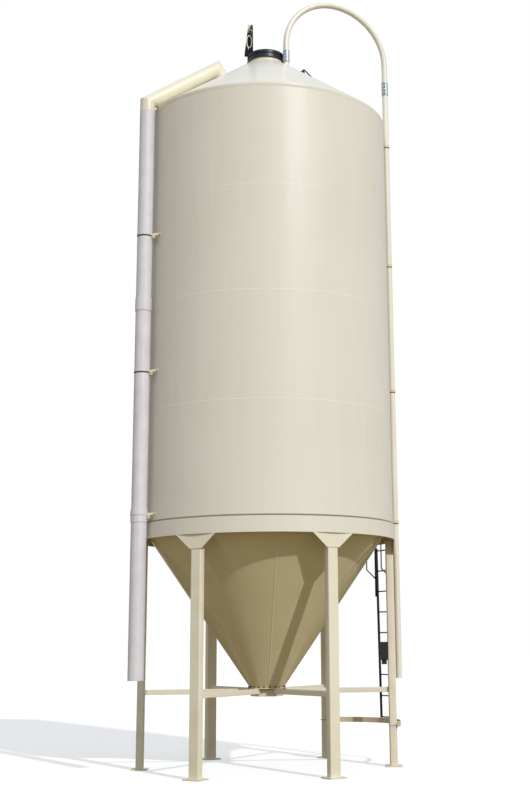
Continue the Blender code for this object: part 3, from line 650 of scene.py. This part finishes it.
def add_block(shape: Shape, size: Spot, place: Matrix, edge: float = 0.0) -> None:
    """Add a block centred on a place, with its edges rounded.

    Args:
        shape: The bmesh that gets it.
        size: Its lengths along the place's axes.
        place: Its centre and its turn.
        edge: Width of the rounded edges, or zero.
    """
    made = bmesh.ops.create_cube(shape, size=1.0, matrix=place @ Matrix.Diagonal((*size, 1.0)))["verts"]
    if edge:
        bmesh.ops.bevel(shape, geom=links_of(made), offset=edge, segments=2, profile=0.5, affect="EDGES",
                        material=-1)


def add_bolt(shape: Shape, place: Matrix, across: float, stem: float = 0.0) -> None:
    """Add a hexagon head on its washer, with a threaded end standing out of it if asked.

    Args:
        shape: The bmesh that gets it.
        place: Where the washer lies and which way the head points.
        across: The head's size across its corners, which gives the other sizes.
        stem: How far the threaded end stands out of the head.
    """
    washer_radius, washer = across * 0.66, across * 0.12
    head, chamfer = across * 0.42, across * 0.05
    stem_radius = across * 0.27
    add_prism(shape, washer_radius, washer, place, 14)
    add_prism(shape, across / 2, head, place @ Matrix.Translation((0, 0, washer)), 6, chamfer)
    if stem:
        add_prism(shape, stem_radius, stem, place @ Matrix.Translation((0, 0, washer + head)), 8)


def add_bar(shape: Shape, points: list[Vector], radius: float, sides: int = 8) -> None:
    """Add a round bar, wire or weld bead swept along points, with closed ends.

    Args:
        shape: The bmesh that gets it.
        points: The bar's centre line.
        radius: The bar's radius.
        sides: Sides of its section.
    """
    heading = (points[1] - points[0]).normalized()
    ring = bmesh.ops.create_circle(shape, cap_ends=True, radius=radius, segments=sides,
                                   matrix=facing(heading, points[0]))["verts"]
    edges = links_of(ring)
    for index in range(1, len(points)):
        after = points[min(index + 1, len(points) - 1)]
        new_heading = ((points[index] - points[index - 1]).normalized()
                       + (after - points[index]).normalized()).normalized()
        grown = bmesh.ops.extrude_edge_only(shape, edges=edges)["geom"]
        ring = [part for part in grown if isinstance(part, bmesh.types.BMVert)]
        edges = [part for part in grown if isinstance(part, bmesh.types.BMEdge)]
        edges = [edge for edge in edges if all(corner in ring for corner in edge.verts)]
        bmesh.ops.translate(shape, verts=ring, vec=points[index] - points[index - 1])
        turn = heading.rotation_difference(new_heading).to_matrix()
        bmesh.ops.rotate(shape, verts=ring, cent=points[index], matrix=turn)
        heading = new_heading
    bmesh.ops.contextual_create(shape, geom=edges)


def add_turned(shape: Shape, profile: list[Span], axis: Vector, around: int = 96) -> None:
    """Add a closed profile spun once round an upright axis.

    Args:
        shape: The bmesh that gets it.
        profile: The profile's corners as (radius, height), in order.
        axis: A point on the axis.
        around: Steps round the axis; 96 is what the rolled sheets have.
    """
    corners = [shape.verts.new(polar(axis, radius, 0, height)) for radius, height in profile]
    sides = [shape.edges.new((corners[index - 1], corners[index])) for index in range(len(corners))]
    bmesh.ops.spin(shape, geom=corners + sides, cent=axis, axis=UP, angle=2 * pi, steps=around,
                   use_merge=True)


def add_shadow_sleeve(shape: Shape, bore: float, sleeve: Span, top: Vector) -> None:
    """Add the dark sleeve that shows under a strap round a pipe: a painted shadow of the strap.

    Args:
        shape: The bmesh that gets it.
        bore: The sleeve's inner radius.
        sleeve: Its thickness, and how far it shows.
        top: The point on the pipe's axis where the strap's lower edge lies.
    """
    outer, foot, head = bore + sleeve[0], top.z - sleeve[1], top.z - SLEEVE_GAP
    add_turned(shape, [(bore, foot), (outer, foot), (outer, head), (bore, head)],
               Vector((top.x, top.y, 0)), 24)


def polar(axis: Vector, radius: float, degrees: float, height: float) -> Vector:
    """Return the point at a radius, an angle and a height from the bin's axis."""
    turn = radians(degrees)
    return Vector((axis.x + radius * cos(turn), axis.y + radius * sin(turn), height))


def outward(degrees: float) -> Vector:
    """Return the level unit vector that points away from the axis at an angle."""
    return Vector((cos(radians(degrees)), sin(radians(degrees)), 0))


@dataclass
class Setting:
    """Main places of the bin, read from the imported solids."""

    axis: Vector = field(init=False)
    wall_radius: float = field(init=False)
    ring_radius: float = field(init=False)
    ring_top: float = field(init=False)
    ring_bottom: float = field(init=False)
    eave: float = field(init=False)
    legs: int = 6
    first_leg: float = -1.1

    def __post_init__(self) -> None:
        """Read the sizes from the nodes' boxes."""
        low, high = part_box("wall_course_1")
        self.axis = Vector(((low[0] + high[0]) / 2, (low[1] + high[1]) / 2, 0))
        self.wall_radius = (high[0] - low[0]) / 2
        ring_low, ring_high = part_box("ring_band")
        self.ring_radius = (ring_high[0] - ring_low[0]) / 2
        self.ring_top, self.ring_bottom = ring_high[2], ring_low[2]
        self.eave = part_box("wall_course_4")[1][2]

    def leg_angle(self, number: int) -> float:
        """Return the angle of a leg, counted from one, in degrees."""
        return self.first_leg + 360 / self.legs * (number - 1)


# Sub-assemblies

@dataclass
class Assembly:
    """A part of the bin, with the bin's places and its finishes."""

    place: Setting
    finishes: Palette

    def build(self) -> None:
        """Dress the part."""


@dataclass
class Shell(Assembly):
    """The ringed wall, the band below it, the roof and the filling neck."""

    courses: int = 4
    bead_rise: float = 0.0012
    bead_width: float = 0.014
    bead_flat: float = 0.7
    lip_drop: float = 0.020
    eave_depth: float = 0.040
    eave_reach: float = 0.0098
    eave_taper: float = 0.0003
    eave_edge: float = 0.004
    seal_depth: float = 0.026
    seal_reach: float = 0.010
    seal_belly: Span = (0.6, 0.7)
    joint_drop: float = 0.040
    joint_band: float = 0.02
    butt_angles: Span = (283.5, 103.5)
    butt_radius: float = 0.003
    butt_end: float = 0.008

    def build(self) -> None:
        """Dress the shell and add its seams."""
        for number in range(1, self.courses + 1):
            self.lower_edge(resurface(f"wall_course_{number}", self.finishes.wall))
        self.lower_edge(resurface("ring_band", self.finishes.wall, edge=0.0015))
        resurface("roof_cone", self.finishes.roof)
        resurface("fill_neck", self.finishes.fixing)
        self.add_seams()
        self.add_eave_bead()
        self.add_ring_seal()
        self.add_ring_joint()

    def lower_edge(self, piece: Piece) -> None:
        """Lower the joint of band and first course to where the photograph shows it.

        Args:
            piece: The band's copy or a course's, of which only the first has corners at the joint.
        """
        for vertex in piece.data.vertices:
            if abs(vertex.co.z - self.place.ring_top) < self.joint_band:
                vertex.co.z -= self.joint_drop

    def add_seams(self) -> None:
        """Add the ground-down weld beads between the courses, in the paler enamel that paints a highlight
        along them.
        """
        shape = bmesh.new()
        sheet, proud = self.place.wall_radius - WELD_SINK, self.place.wall_radius + self.bead_rise
        half = self.bead_width / 2
        flat = half * self.bead_flat
        for number in range(2, self.courses + 1):
            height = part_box(f"wall_course_{number}")[0][2]
            add_turned(shape, [(sheet, height - half), (proud, height - flat), (proud, height + flat),
                               (sheet, height + half)], self.place.axis)
        make_piece(shape, "course_weld_beads", self.finishes.bead)

    def add_eave_bead(self) -> None:
        """Fill the corner under the roof's lip with a bead in the paler enamel, which paints light over the
        lip's shade.
        """
        shape = bmesh.new()
        sheet, top = self.place.wall_radius - WELD_SINK, self.place.eave - self.lip_drop - SHEET_GAP
        reach = self.place.wall_radius + self.eave_reach
        add_turned(shape, [(sheet, top), (sheet, top - self.eave_depth),
                           (reach - self.eave_taper, top - self.eave_edge), (reach, top)], self.place.axis)
        make_piece(shape, "eave_bead", self.finishes.bead)

    def add_ring_seal(self) -> None:
        """Add the fillet of sealant between wall and band."""
        shape = bmesh.new()
        radius, foot = self.place.wall_radius, self.place.ring_top - self.joint_drop + SHEET_GAP
        out, rise = self.seal_belly
        add_turned(shape, [(radius - WELD_SINK, foot), (radius + self.seal_reach, foot),
                           (radius + self.seal_reach * out, foot + self.seal_depth * rise),
                           (radius - WELD_SINK, foot + self.seal_depth)], self.place.axis)
        make_piece(shape, "ring_sealant", self.finishes.sealant)

    def add_ring_joint(self) -> None:
        """Add the upright butt welds of the band, in the paler enamel as a painted highlight."""
        shape = bmesh.new()
        foot = self.place.ring_bottom + self.butt_end
        length = self.place.ring_top - self.joint_drop - self.butt_end - foot
        for angle in self.butt_angles:
            low = polar(self.place.axis, self.place.ring_radius - WELD_SINK, angle, foot)
            add_bar(shape, [low, low + UP * length], self.butt_radius, 6)
        make_piece(shape, "ring_butt_welds", self.finishes.bead)


@dataclass
class Hopper(Assembly):
    """The hopper cone with its outlet flange and the hub for the braces."""

    pitch: float = radians(55.2)
    tuck: float = 0.008
    panels: int = 2
    first_panel: float = 275.0
    seam_radius: float = 0.007
    seam_steps: int = 6
    seam_ends: Span = (0.010, 0.012)
    flange_bolts: int = 20
    bolt_circle: float = 0.258
    bolt: Span = (0.024, 0.012)

    def build(self) -> None:
        """Dress the hopper and add its seams and bolts."""
        resurface("hopper_cone", self.finishes.cone)
        resurface("outlet_flange", self.finishes.low, edge=0.001)
        resurface("brace_hub", self.finishes.low, edge=0.0015)
        self.add_seams()
        self.add_flange_bolts()

    def cone_radius(self, height: float) -> float:
        """Return the radius of the cone's outer side at a height."""
        low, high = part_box("hopper_cone")
        return (high[0] - low[0]) / 2 - (self.place.ring_top - self.tuck - height) / tan(self.pitch)

    def add_seams(self) -> None:
        """Add the welded seams between the cone's panels."""
        shape = bmesh.new()
        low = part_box("hopper_cone")[0][2] + self.seam_ends[0]
        step = (self.place.ring_top - self.seam_ends[1] - low) / self.seam_steps
        heights = [low + step * index for index in range(self.seam_steps + 1)]
        for number in range(self.panels):
            angle = self.first_panel + 360 / self.panels * number
            line = [polar(self.place.axis, self.cone_radius(height), angle, height) for height in heights]
            add_bar(shape, line, self.seam_radius, 6)
        make_piece(shape, "hopper_seams", self.finishes.leg)

    def add_flange_bolts(self) -> None:
        """Add the ring of bolts through the outlet flange."""
        shape = bmesh.new()
        low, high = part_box("outlet_flange")
        for number in range(self.flange_bolts):
            angle = 360 / self.flange_bolts * (number + 0.5)
            spot = polar(self.place.axis, self.bolt_circle, angle, high[2])
            add_bolt(shape, Matrix.Translation(spot), *self.bolt)
            spot.z = low[2]
            add_bolt(shape, facing(-UP, spot), self.bolt[0])
        make_piece(shape, "flange_bolts", self.finishes.nuts)


@dataclass
class Legs(Assembly):
    """Six legs on their base plates, and the braces from the hub."""

    gusset_foot: float = 2.93
    gusset_from: float = 0.2
    gusset_stretch: float = 1.15

    def build(self) -> None:
        """Dress legs and braces."""
        for number in range(1, self.place.legs + 1):
            leg = resurface(f"leg_{number}", self.finishes.leg, edge=0.0015)
            self.widen_gusset(leg, self.place.leg_angle(number))
            resurface(f"brace_{number}", self.finishes.leg)

    def widen_gusset(self, leg: Piece, angle: float) -> None:
        """Widen the leg's gusset plate to the photograph's outline, most at its top corners.

        Args:
            leg: The leg's copy.
            angle: The leg's angle, in degrees.
        """
        across = outward(angle + 90)
        for vertex in leg.data.vertices:
            side = (vertex.co - self.place.axis).dot(across)
            if vertex.co.z > self.gusset_foot and abs(side) > self.gusset_from:
                vertex.co += across * side * (self.gusset_stretch - 1)


@dataclass
class FillingLid(Assembly):
    """The black collar, the open lid with its arm, and the hinge."""

    hinge_height: float = 10.7352
    hinge_across: float = -0.225
    pin_head: Span = (0.015, 0.006)
    pin_edge: float = 0.0015
    lever_size: Spot = (0.040, 0.072, 0.140)
    lever_across: float = -0.2695
    lever_drop: float = 0.024
    lever_lean: float = radians(4)
    lever_edge: float = 0.006
    wire_radius: float = 0.005
    wire_line: tuple[Spot, ...] = (
        (-0.264, 0.036, 11.177), (-0.258, 0.150, 11.117), (-0.240, 0.260, 11.045), (-0.212, 0.268, 11.014))
    loop_middle: Spot = (-0.262, 0.2510, 0.111)
    loop_half: Spot = (0.038, 0.024, 0.088)
    loop_point: float = 0.8
    loop_steps: int = 12
    loop_wire: Span = (0.009, 0.005)
    loop_hanger: tuple[Spot, ...] = ((0, 0.023, 0.084), (0.002, -0.030, 0.129), (0, -0.191, 0.184))
    loop_tail: tuple[Spot, ...] = ((0, -0.023, -0.084), (-0.016, -0.030, -0.119))
    rim_radius: float = 0.005
    rim_sides: int = 8
    rim_drops: Span = (0.008, 0.046)
    rim_rise: float = 0.005

    def build(self) -> None:
        """Dress the collar, lid and hinge."""
        resurface("collar_ring", self.finishes.black, edge=0.0015)
        resurface("lid_bracket", self.finishes.black, edge=0.001)
        for node in ("lid", "lid_arm"):
            resurface(node, self.finishes.black, edge=0.001, body=Body.LID)
        self.add_lever()
        self.add_wire()
        self.add_loop()
        self.add_pin_heads()
        self.add_collar_rims()

    def spot(self, across: float, front: float, height: float) -> Vector:
        """Return a point by its distance right of the axis, in front of it, and its height."""
        return Vector((self.place.axis.x + across, self.place.axis.y - front, height))

    def add_lever(self) -> None:
        """Add the cream lever over the arm's tip."""
        shape = bmesh.new()
        middle = self.spot(self.lever_across, 0.0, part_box("lid_arm")[1][2] - self.lever_drop)
        lean = Matrix.Rotation(self.lever_lean, 4, "Y")
        add_block(shape, self.lever_size, Matrix.Translation(middle) @ lean, self.lever_edge)
        make_piece(shape, "lid_lever", self.finishes.fixing, Body.LID)

    def add_wire(self) -> None:
        """Add the wire from the lever round the lid's rim."""
        shape = bmesh.new()
        add_bar(shape, [self.spot(*point) for point in self.wire_line], self.wire_radius)
        make_piece(shape, "lid_wire", self.finishes.bead, Body.LID)

    def add_loop(self) -> None:
        """Add the pointed wire loop that hangs at the lid's front rim, with its hanger and its tail."""
        shape = bmesh.new()
        middle, (wide, deep, tall) = self.loop_middle, self.loop_half
        turns = [pi * step / self.loop_steps for step in range(self.loop_steps + 1)]
        wires = [(radius, [(side * wide * sin(turn) ** self.loop_point, deep * cos(turn), tall * cos(turn))
                           for turn in turns]) for side, radius in zip((-1, 1), self.loop_wire)]
        wires += [(self.wire_radius, self.loop_hanger), (self.wire_radius, self.loop_tail)]
        for radius, points in wires:
            line = [self.spot(middle[0] + across, middle[1] + front, self.hinge_height + middle[2] + rise)
                    for across, front, rise in points]
            add_bar(shape, line, radius)
        make_piece(shape, "lid_pull_loop", self.finishes.bead, Body.LID)

    def add_pin_heads(self) -> None:
        """Add the round heads of the hinge pin."""
        shape = bmesh.new()
        radius, depth = self.pin_head
        low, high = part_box("lid_bracket")
        for edge, way in ((low[1], -1), (high[1], 1)):
            head = self.spot(self.hinge_across, self.place.axis.y - edge, self.hinge_height)
            add_prism(shape, radius, depth, facing(Vector((0, way, 0)), head), 16, self.pin_edge)
        make_piece(shape, "hinge_pin_heads", self.finishes.black)

    def add_collar_rims(self) -> None:
        """Add the rolled rims of the clamping band round the neck."""
        shape = bmesh.new()
        low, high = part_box("collar_ring")
        radius = (high[0] - low[0]) / 2 - WELD_SINK
        turns = [2 * pi * side / self.rim_sides for side in range(self.rim_sides)]
        for height in (high[2] - self.rim_drops[0], high[2] - self.rim_drops[1], low[2] + self.rim_rise):
            add_turned(shape, [(radius + self.rim_radius * cos(turn), height + self.rim_radius * sin(turn))
                               for turn in turns], self.place.axis)
        make_piece(shape, "collar_rims", self.finishes.black)


@dataclass
class VentPipe(Assembly):
    """The grey vent pipe with its couplers, straps and cream head."""

    straps: int = 3
    angle: float = 208.0
    circle: float = 1.9885
    radius: float = 0.1097
    shadow_ring: Span = (0.003, 0.020)
    tab_size: Spot = (0.034, 0.070, 0.050)
    tab_angle: float = -20.0
    tab_reach: float = 0.026
    tab_drop: float = 0.034
    tab_edge: float = 0.006
    tab_bolt: Spot = (0.004, -0.018, 0)
    tab_bolt_way: Spot = (0.2, -1, 0)
    bolt_size: float = 0.018
    flange_size: Spot = (0.060, 0.036, 0.008)
    flange_angle: float = 212.4
    flange_lift: float = 0.0028
    bolt_lift: float = 0.0035
    arm_section: Span = (0.008, 0.030)
    arm_rise: float = 0.028
    plate_edge: float = 0.0015

    def build(self) -> None:
        """Dress the vent pipe."""
        for node in ("vent_pipe", "vent_coupler_1", "vent_coupler_2"):
            resurface(node, self.finishes.pipe, edge=0.001)
        for node in ("vent_elbow", "vent_run"):
            resurface(node, self.finishes.duct)
        resurface("vent_rest", self.finishes.fixing, edge=0.001)
        self.add_fixings()

    def add_fixings(self) -> None:
        """Dress the straps and add each one's sleeve of painted shadow below it, tab, arm and flange on the
        wall.
        """
        shade_rings, cream, bolts = bmesh.new(), bmesh.new(), bmesh.new()
        for number in range(1, self.straps + 1):
            node = f"vent_strap_{number}"
            resurface(node, self.finishes.pipe, edge=0.001)
            low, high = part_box(node)
            height = (low[2] + high[2]) / 2
            top = polar(self.place.axis, self.circle, self.angle, low[2])
            # A dark sleeve under the strap paints its shadow on the pipe.
            add_shadow_sleeve(shade_rings, self.radius, self.shadow_ring, top)
            self.add_bracket(cream, bolts, height)
        make_piece(shade_rings, "vent_strap_liners", self.finishes.shadow_ring)
        make_piece(cream, "vent_strap_tabs", self.finishes.fixing)
        make_piece(bolts, "vent_strap_bolts", self.finishes.zinc)

    def add_bracket(self, cream: Shape, bolts: Shape, height: float) -> None:
        """Add a strap's tab, the flange on the wall and the arm between them.

        Args:
            cream: The bmesh of the painted plates.
            bolts: The bmesh of the bolts.
            height: The height of the strap's middle.
        """
        centre = polar(self.place.axis, self.circle, self.angle, height)
        way = outward(self.tab_angle)
        tab = facing(way, centre + way * (self.radius + self.tab_reach) - UP * self.tab_drop)
        add_block(cream, self.tab_size, tab, self.tab_edge)
        bolt = facing(Vector(self.tab_bolt_way), tab.translation + Vector(self.tab_bolt))
        add_bolt(bolts, bolt, self.bolt_size)
        seat = facing(outward(self.flange_angle), polar(
            self.place.axis, self.place.wall_radius + self.flange_lift, self.flange_angle, height))
        add_block(cream, self.flange_size, seat, self.plate_edge)
        start, end = tab.translation + UP * self.arm_rise, seat.translation
        arm = facing(end - start, (start + end) / 2)
        add_block(cream, (*self.arm_section, (end - start).length), arm, self.plate_edge)
        add_bolt(bolts, seat @ Matrix.Translation((0, 0, self.bolt_lift)), self.bolt_size)


@dataclass
class FillingPipe(Assembly):
    """The cream filling pipe with its gooseneck, couplings and clamps."""

    clamps: int = 4
    angle: float = 13.2
    circle: float = 1.9685
    radius: float = 0.0447
    shadow_ring: Span = (0.0025, 0.014)
    neck_angle: float = -22.0
    neck_circle: float = 0.3435
    lug_angle: float = 240.0
    lug_reach: float = 0.0605
    lug_half: float = 0.015
    bolts: int = 4
    bolt: Span = (0.038, 0.008)

    def build(self) -> None:
        """Dress the filling pipe with its clamps and couplings."""
        for node in ("fill_pipe", "gooseneck", "fill_stub"):
            resurface(node, self.finishes.tube)
        shade_rings = bmesh.new()
        for number in range(1, self.clamps + 1):
            node = f"fill_clamp_{number}"
            resurface(node, self.finishes.fixing, edge=0.001)
            top = polar(self.place.axis, self.circle, self.angle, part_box(node)[0][2])
            # A dark sleeve under the clamp paints its shadow on the pipe.
            add_shadow_sleeve(shade_rings, self.radius, self.shadow_ring, top)
        make_piece(shade_rings, "fill_clamp_liners", self.finishes.shadow_ring)
        for node in ("fill_coupling_1", "fill_coupling_2"):
            resurface(node, self.finishes.zinc, edge=0.001)
        self.add_coupling_bolts()

    def add_coupling_bolts(self) -> None:
        """Add four bolts down each coupling's lug, heads towards the front."""
        shape = bmesh.new()
        across = outward(self.lug_angle + 90)
        for node, circle, angle in (("fill_coupling_1", self.neck_circle, self.neck_angle),
                                    ("fill_coupling_2", self.circle, self.angle)):
            low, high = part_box(node)
            lug = polar(self.place.axis, circle, angle, low[2]) + outward(self.lug_angle) * self.lug_reach
            step = (high[2] - low[2]) / self.bolts
            for number in range(self.bolts):
                spot = lug + across * self.lug_half + UP * step * (number + 0.5)
                add_bolt(shape, facing(across, spot), *self.bolt)
        make_piece(shape, "coupling_bolts", self.finishes.zinc)


@dataclass
class Ladders(Assembly):
    """The wall ladder, the low ladder on its bowed bar, and the rail on the roof."""

    ladder_angle: float = 28.9
    rail_end: float = 0.70
    rail_rod: float = 0.014
    rung_length: float = 0.15
    rung_radius: float = 0.0126
    tab_radius: float = 0.0154
    tab_height: float = 0.07
    tab_reach: float = 0.03

    def build(self) -> None:
        """Dress the ladders, the bar and the rail."""
        for node in ("wall_ladder", "low_ladder", "roof_handrail"):
            resurface(node, self.finishes.black)
        resurface("ladder_bar", self.finishes.low, edge=0.0015)
        for node in ("bar_strap_1", "bar_strap_2"):
            resurface(node, self.finishes.zinc)
        resurface("black_box", self.finishes.plastic, edge=0.004)
        self.add_rail_rung()

    def add_rail_rung(self) -> None:
        """Add the short rung that leaves the roof rail's upper end, with the tab that holds it."""
        shape = bmesh.new()
        across = outward(self.ladder_angle + 90)
        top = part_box("roof_handrail")[1][2] - self.rail_rod
        end = polar(self.place.axis, self.rail_end, self.ladder_angle, top)
        add_bar(shape, [end, end + across * self.rung_length], self.rung_radius)
        add_bar(shape, [end - UP * self.tab_height, end + across * self.tab_reach], self.tab_radius, 6)
        make_piece(shape, "roof_rail_rung", self.finishes.black)


@dataclass
class Studio:
    """Camera, floor, lamp and surroundings."""

    place: Setting
    lens: float = 58.55
    shift: Span = (-0.0691, -0.0857)
    eye: Spot = (0, -19.025, 1.6927)
    yaw: float = radians(2.4394)
    pitch: float = radians(13.4384)
    roll: float = radians(-0.6567)
    lamp_from: Spot = (0.41, -0.71, 0.567)
    lamp_distance: float = 30
    lamp_strength: float = 2.45
    lamp_colour: Spot = (0.985, 0.985, 0.975)
    sky: Colour = (0.57, 0.60, 0.645, 1.0)
    floor_drop: float = 0.001
    floor_colour: Colour = (0.60, 0.60, 0.60, 1)
    floor_bounce: Colour = (0.29, 0.23, 0.11, 1)

    def build(self) -> None:
        """Set up the whole studio."""
        self.add_camera()
        self.add_lamp()
        self.add_floor()
        self.set_surroundings()
        bpy.context.scene.view_settings.view_transform = "Standard"

    def add_camera(self) -> None:
        """Place the camera where the photograph was taken from."""
        ahead = Vector((sin(self.yaw) * cos(self.pitch), cos(self.yaw) * cos(self.pitch), sin(self.pitch)))
        level = Vector((cos(self.yaw), -sin(self.yaw), 0))
        above = level.cross(ahead)
        right = level * cos(self.roll) + above * sin(self.roll)
        up = above * cos(self.roll) - level * sin(self.roll)
        turn = Matrix((right, up, -ahead)).transposed().to_4x4()
        data = bpy.data.cameras.new("photo_camera")
        data.lens = self.lens
        data.shift_x, data.shift_y = self.shift
        data.clip_end = 500
        camera = bpy.data.objects.new("photo_camera", data)
        camera.matrix_world = Matrix.Translation(Vector(self.eye) + self.place.axis) @ turn
        bpy.context.scene.collection.objects.link(camera)
        bpy.context.scene.camera = camera

    def add_lamp(self) -> None:
        """Add the main lamp, high at the front and to the right."""
        data = bpy.data.lights.new("main_lamp", "SUN")
        data.energy = self.lamp_strength
        data.angle = radians(1.2)
        data.color = self.lamp_colour
        lamp = bpy.data.objects.new("main_lamp", data)
        way = Vector(self.lamp_from)
        lamp.matrix_world = facing(way, way * self.lamp_distance)
        bpy.context.scene.collection.objects.link(lamp)

    def add_floor(self) -> None:
        """Add the pale floor, which bounces a little warm light on what stands above it."""
        shape = bmesh.new()
        bmesh.ops.create_circle(shape, cap_ends=True, radius=160, segments=96)
        mesh = bpy.data.meshes.new("floor")
        shape.to_mesh(mesh)
        shape.free()
        floor = bpy.data.objects.new("floor", mesh)
        floor.location = (0, 0, -self.floor_drop)
        bpy.context.scene.collection.objects.link(floor)
        material, tree, shader = new_material("pale_floor")
        tree.nodes.remove(shader)
        ray = add_node(tree, "ShaderNodeLightPath")
        seen = add_node(tree, "ShaderNodeBsdfDiffuse", inputs={"Color": self.floor_colour})
        lift = add_node(tree, "ShaderNodeEmission", inputs={"Color": WHITE, "Strength": 0.45})
        bright = add_node(tree, "ShaderNodeAddShader", inputs={0: seen.outputs[0], 1: lift.outputs[0]})
        bounce = add_node(tree, "ShaderNodeBsdfDiffuse", inputs={"Color": self.floor_bounce})
        either = add_node(tree, "ShaderNodeMixShader", inputs={
            0: ray.outputs["Is Camera Ray"], 1: bounce.outputs[0], 2: bright.outputs[0]})
        tree.links.new(either.outputs[0], tree.nodes["Material Output"].inputs["Surface"])
        mesh.materials.append(material)

    def set_surroundings(self) -> None:
        """Light from all round, with a white background."""
        world = bpy.data.worlds.new("studio")
        world.use_nodes = True
        tree = world.node_tree
        ray = add_node(tree, "ShaderNodeLightPath")
        seen = add_maths(tree, "MAXIMUM", ray.outputs["Is Camera Ray"], ray.outputs["Is Transmission Ray"])
        fill = tree.nodes["Background"]
        fill_inputs(tree, fill, {"Color": self.sky, "Strength": 1.0})
        white = add_node(tree, "ShaderNodeBackground", inputs={"Color": WHITE, "Strength": 1.0})
        either = add_node(tree, "ShaderNodeMixShader", inputs={
            0: seen, 1: fill.outputs[0], 2: white.outputs[0]})
        tree.links.new(either.outputs[0], tree.nodes["World Output"].inputs["Surface"])
        bpy.context.scene.world = world


def main() -> None:
    """Build the studio, dress every sub-assembly and report its pieces."""
    logging.basicConfig(level=logging.INFO)
    place = Setting()
    finishes = Palette()
    Studio(place).build()
    for assembly in (Shell, Hopper, Legs, FillingLid, VentPipe, FillingPipe, Ladders):
        known = set(bpy.data.objects)
        assembly(place, finishes).build()
        for piece in bpy.data.objects:
            if piece not in known:
                LOG.info("%s: %s", assembly.__name__, piece.name)


if __name__ == "__main__":
    main()
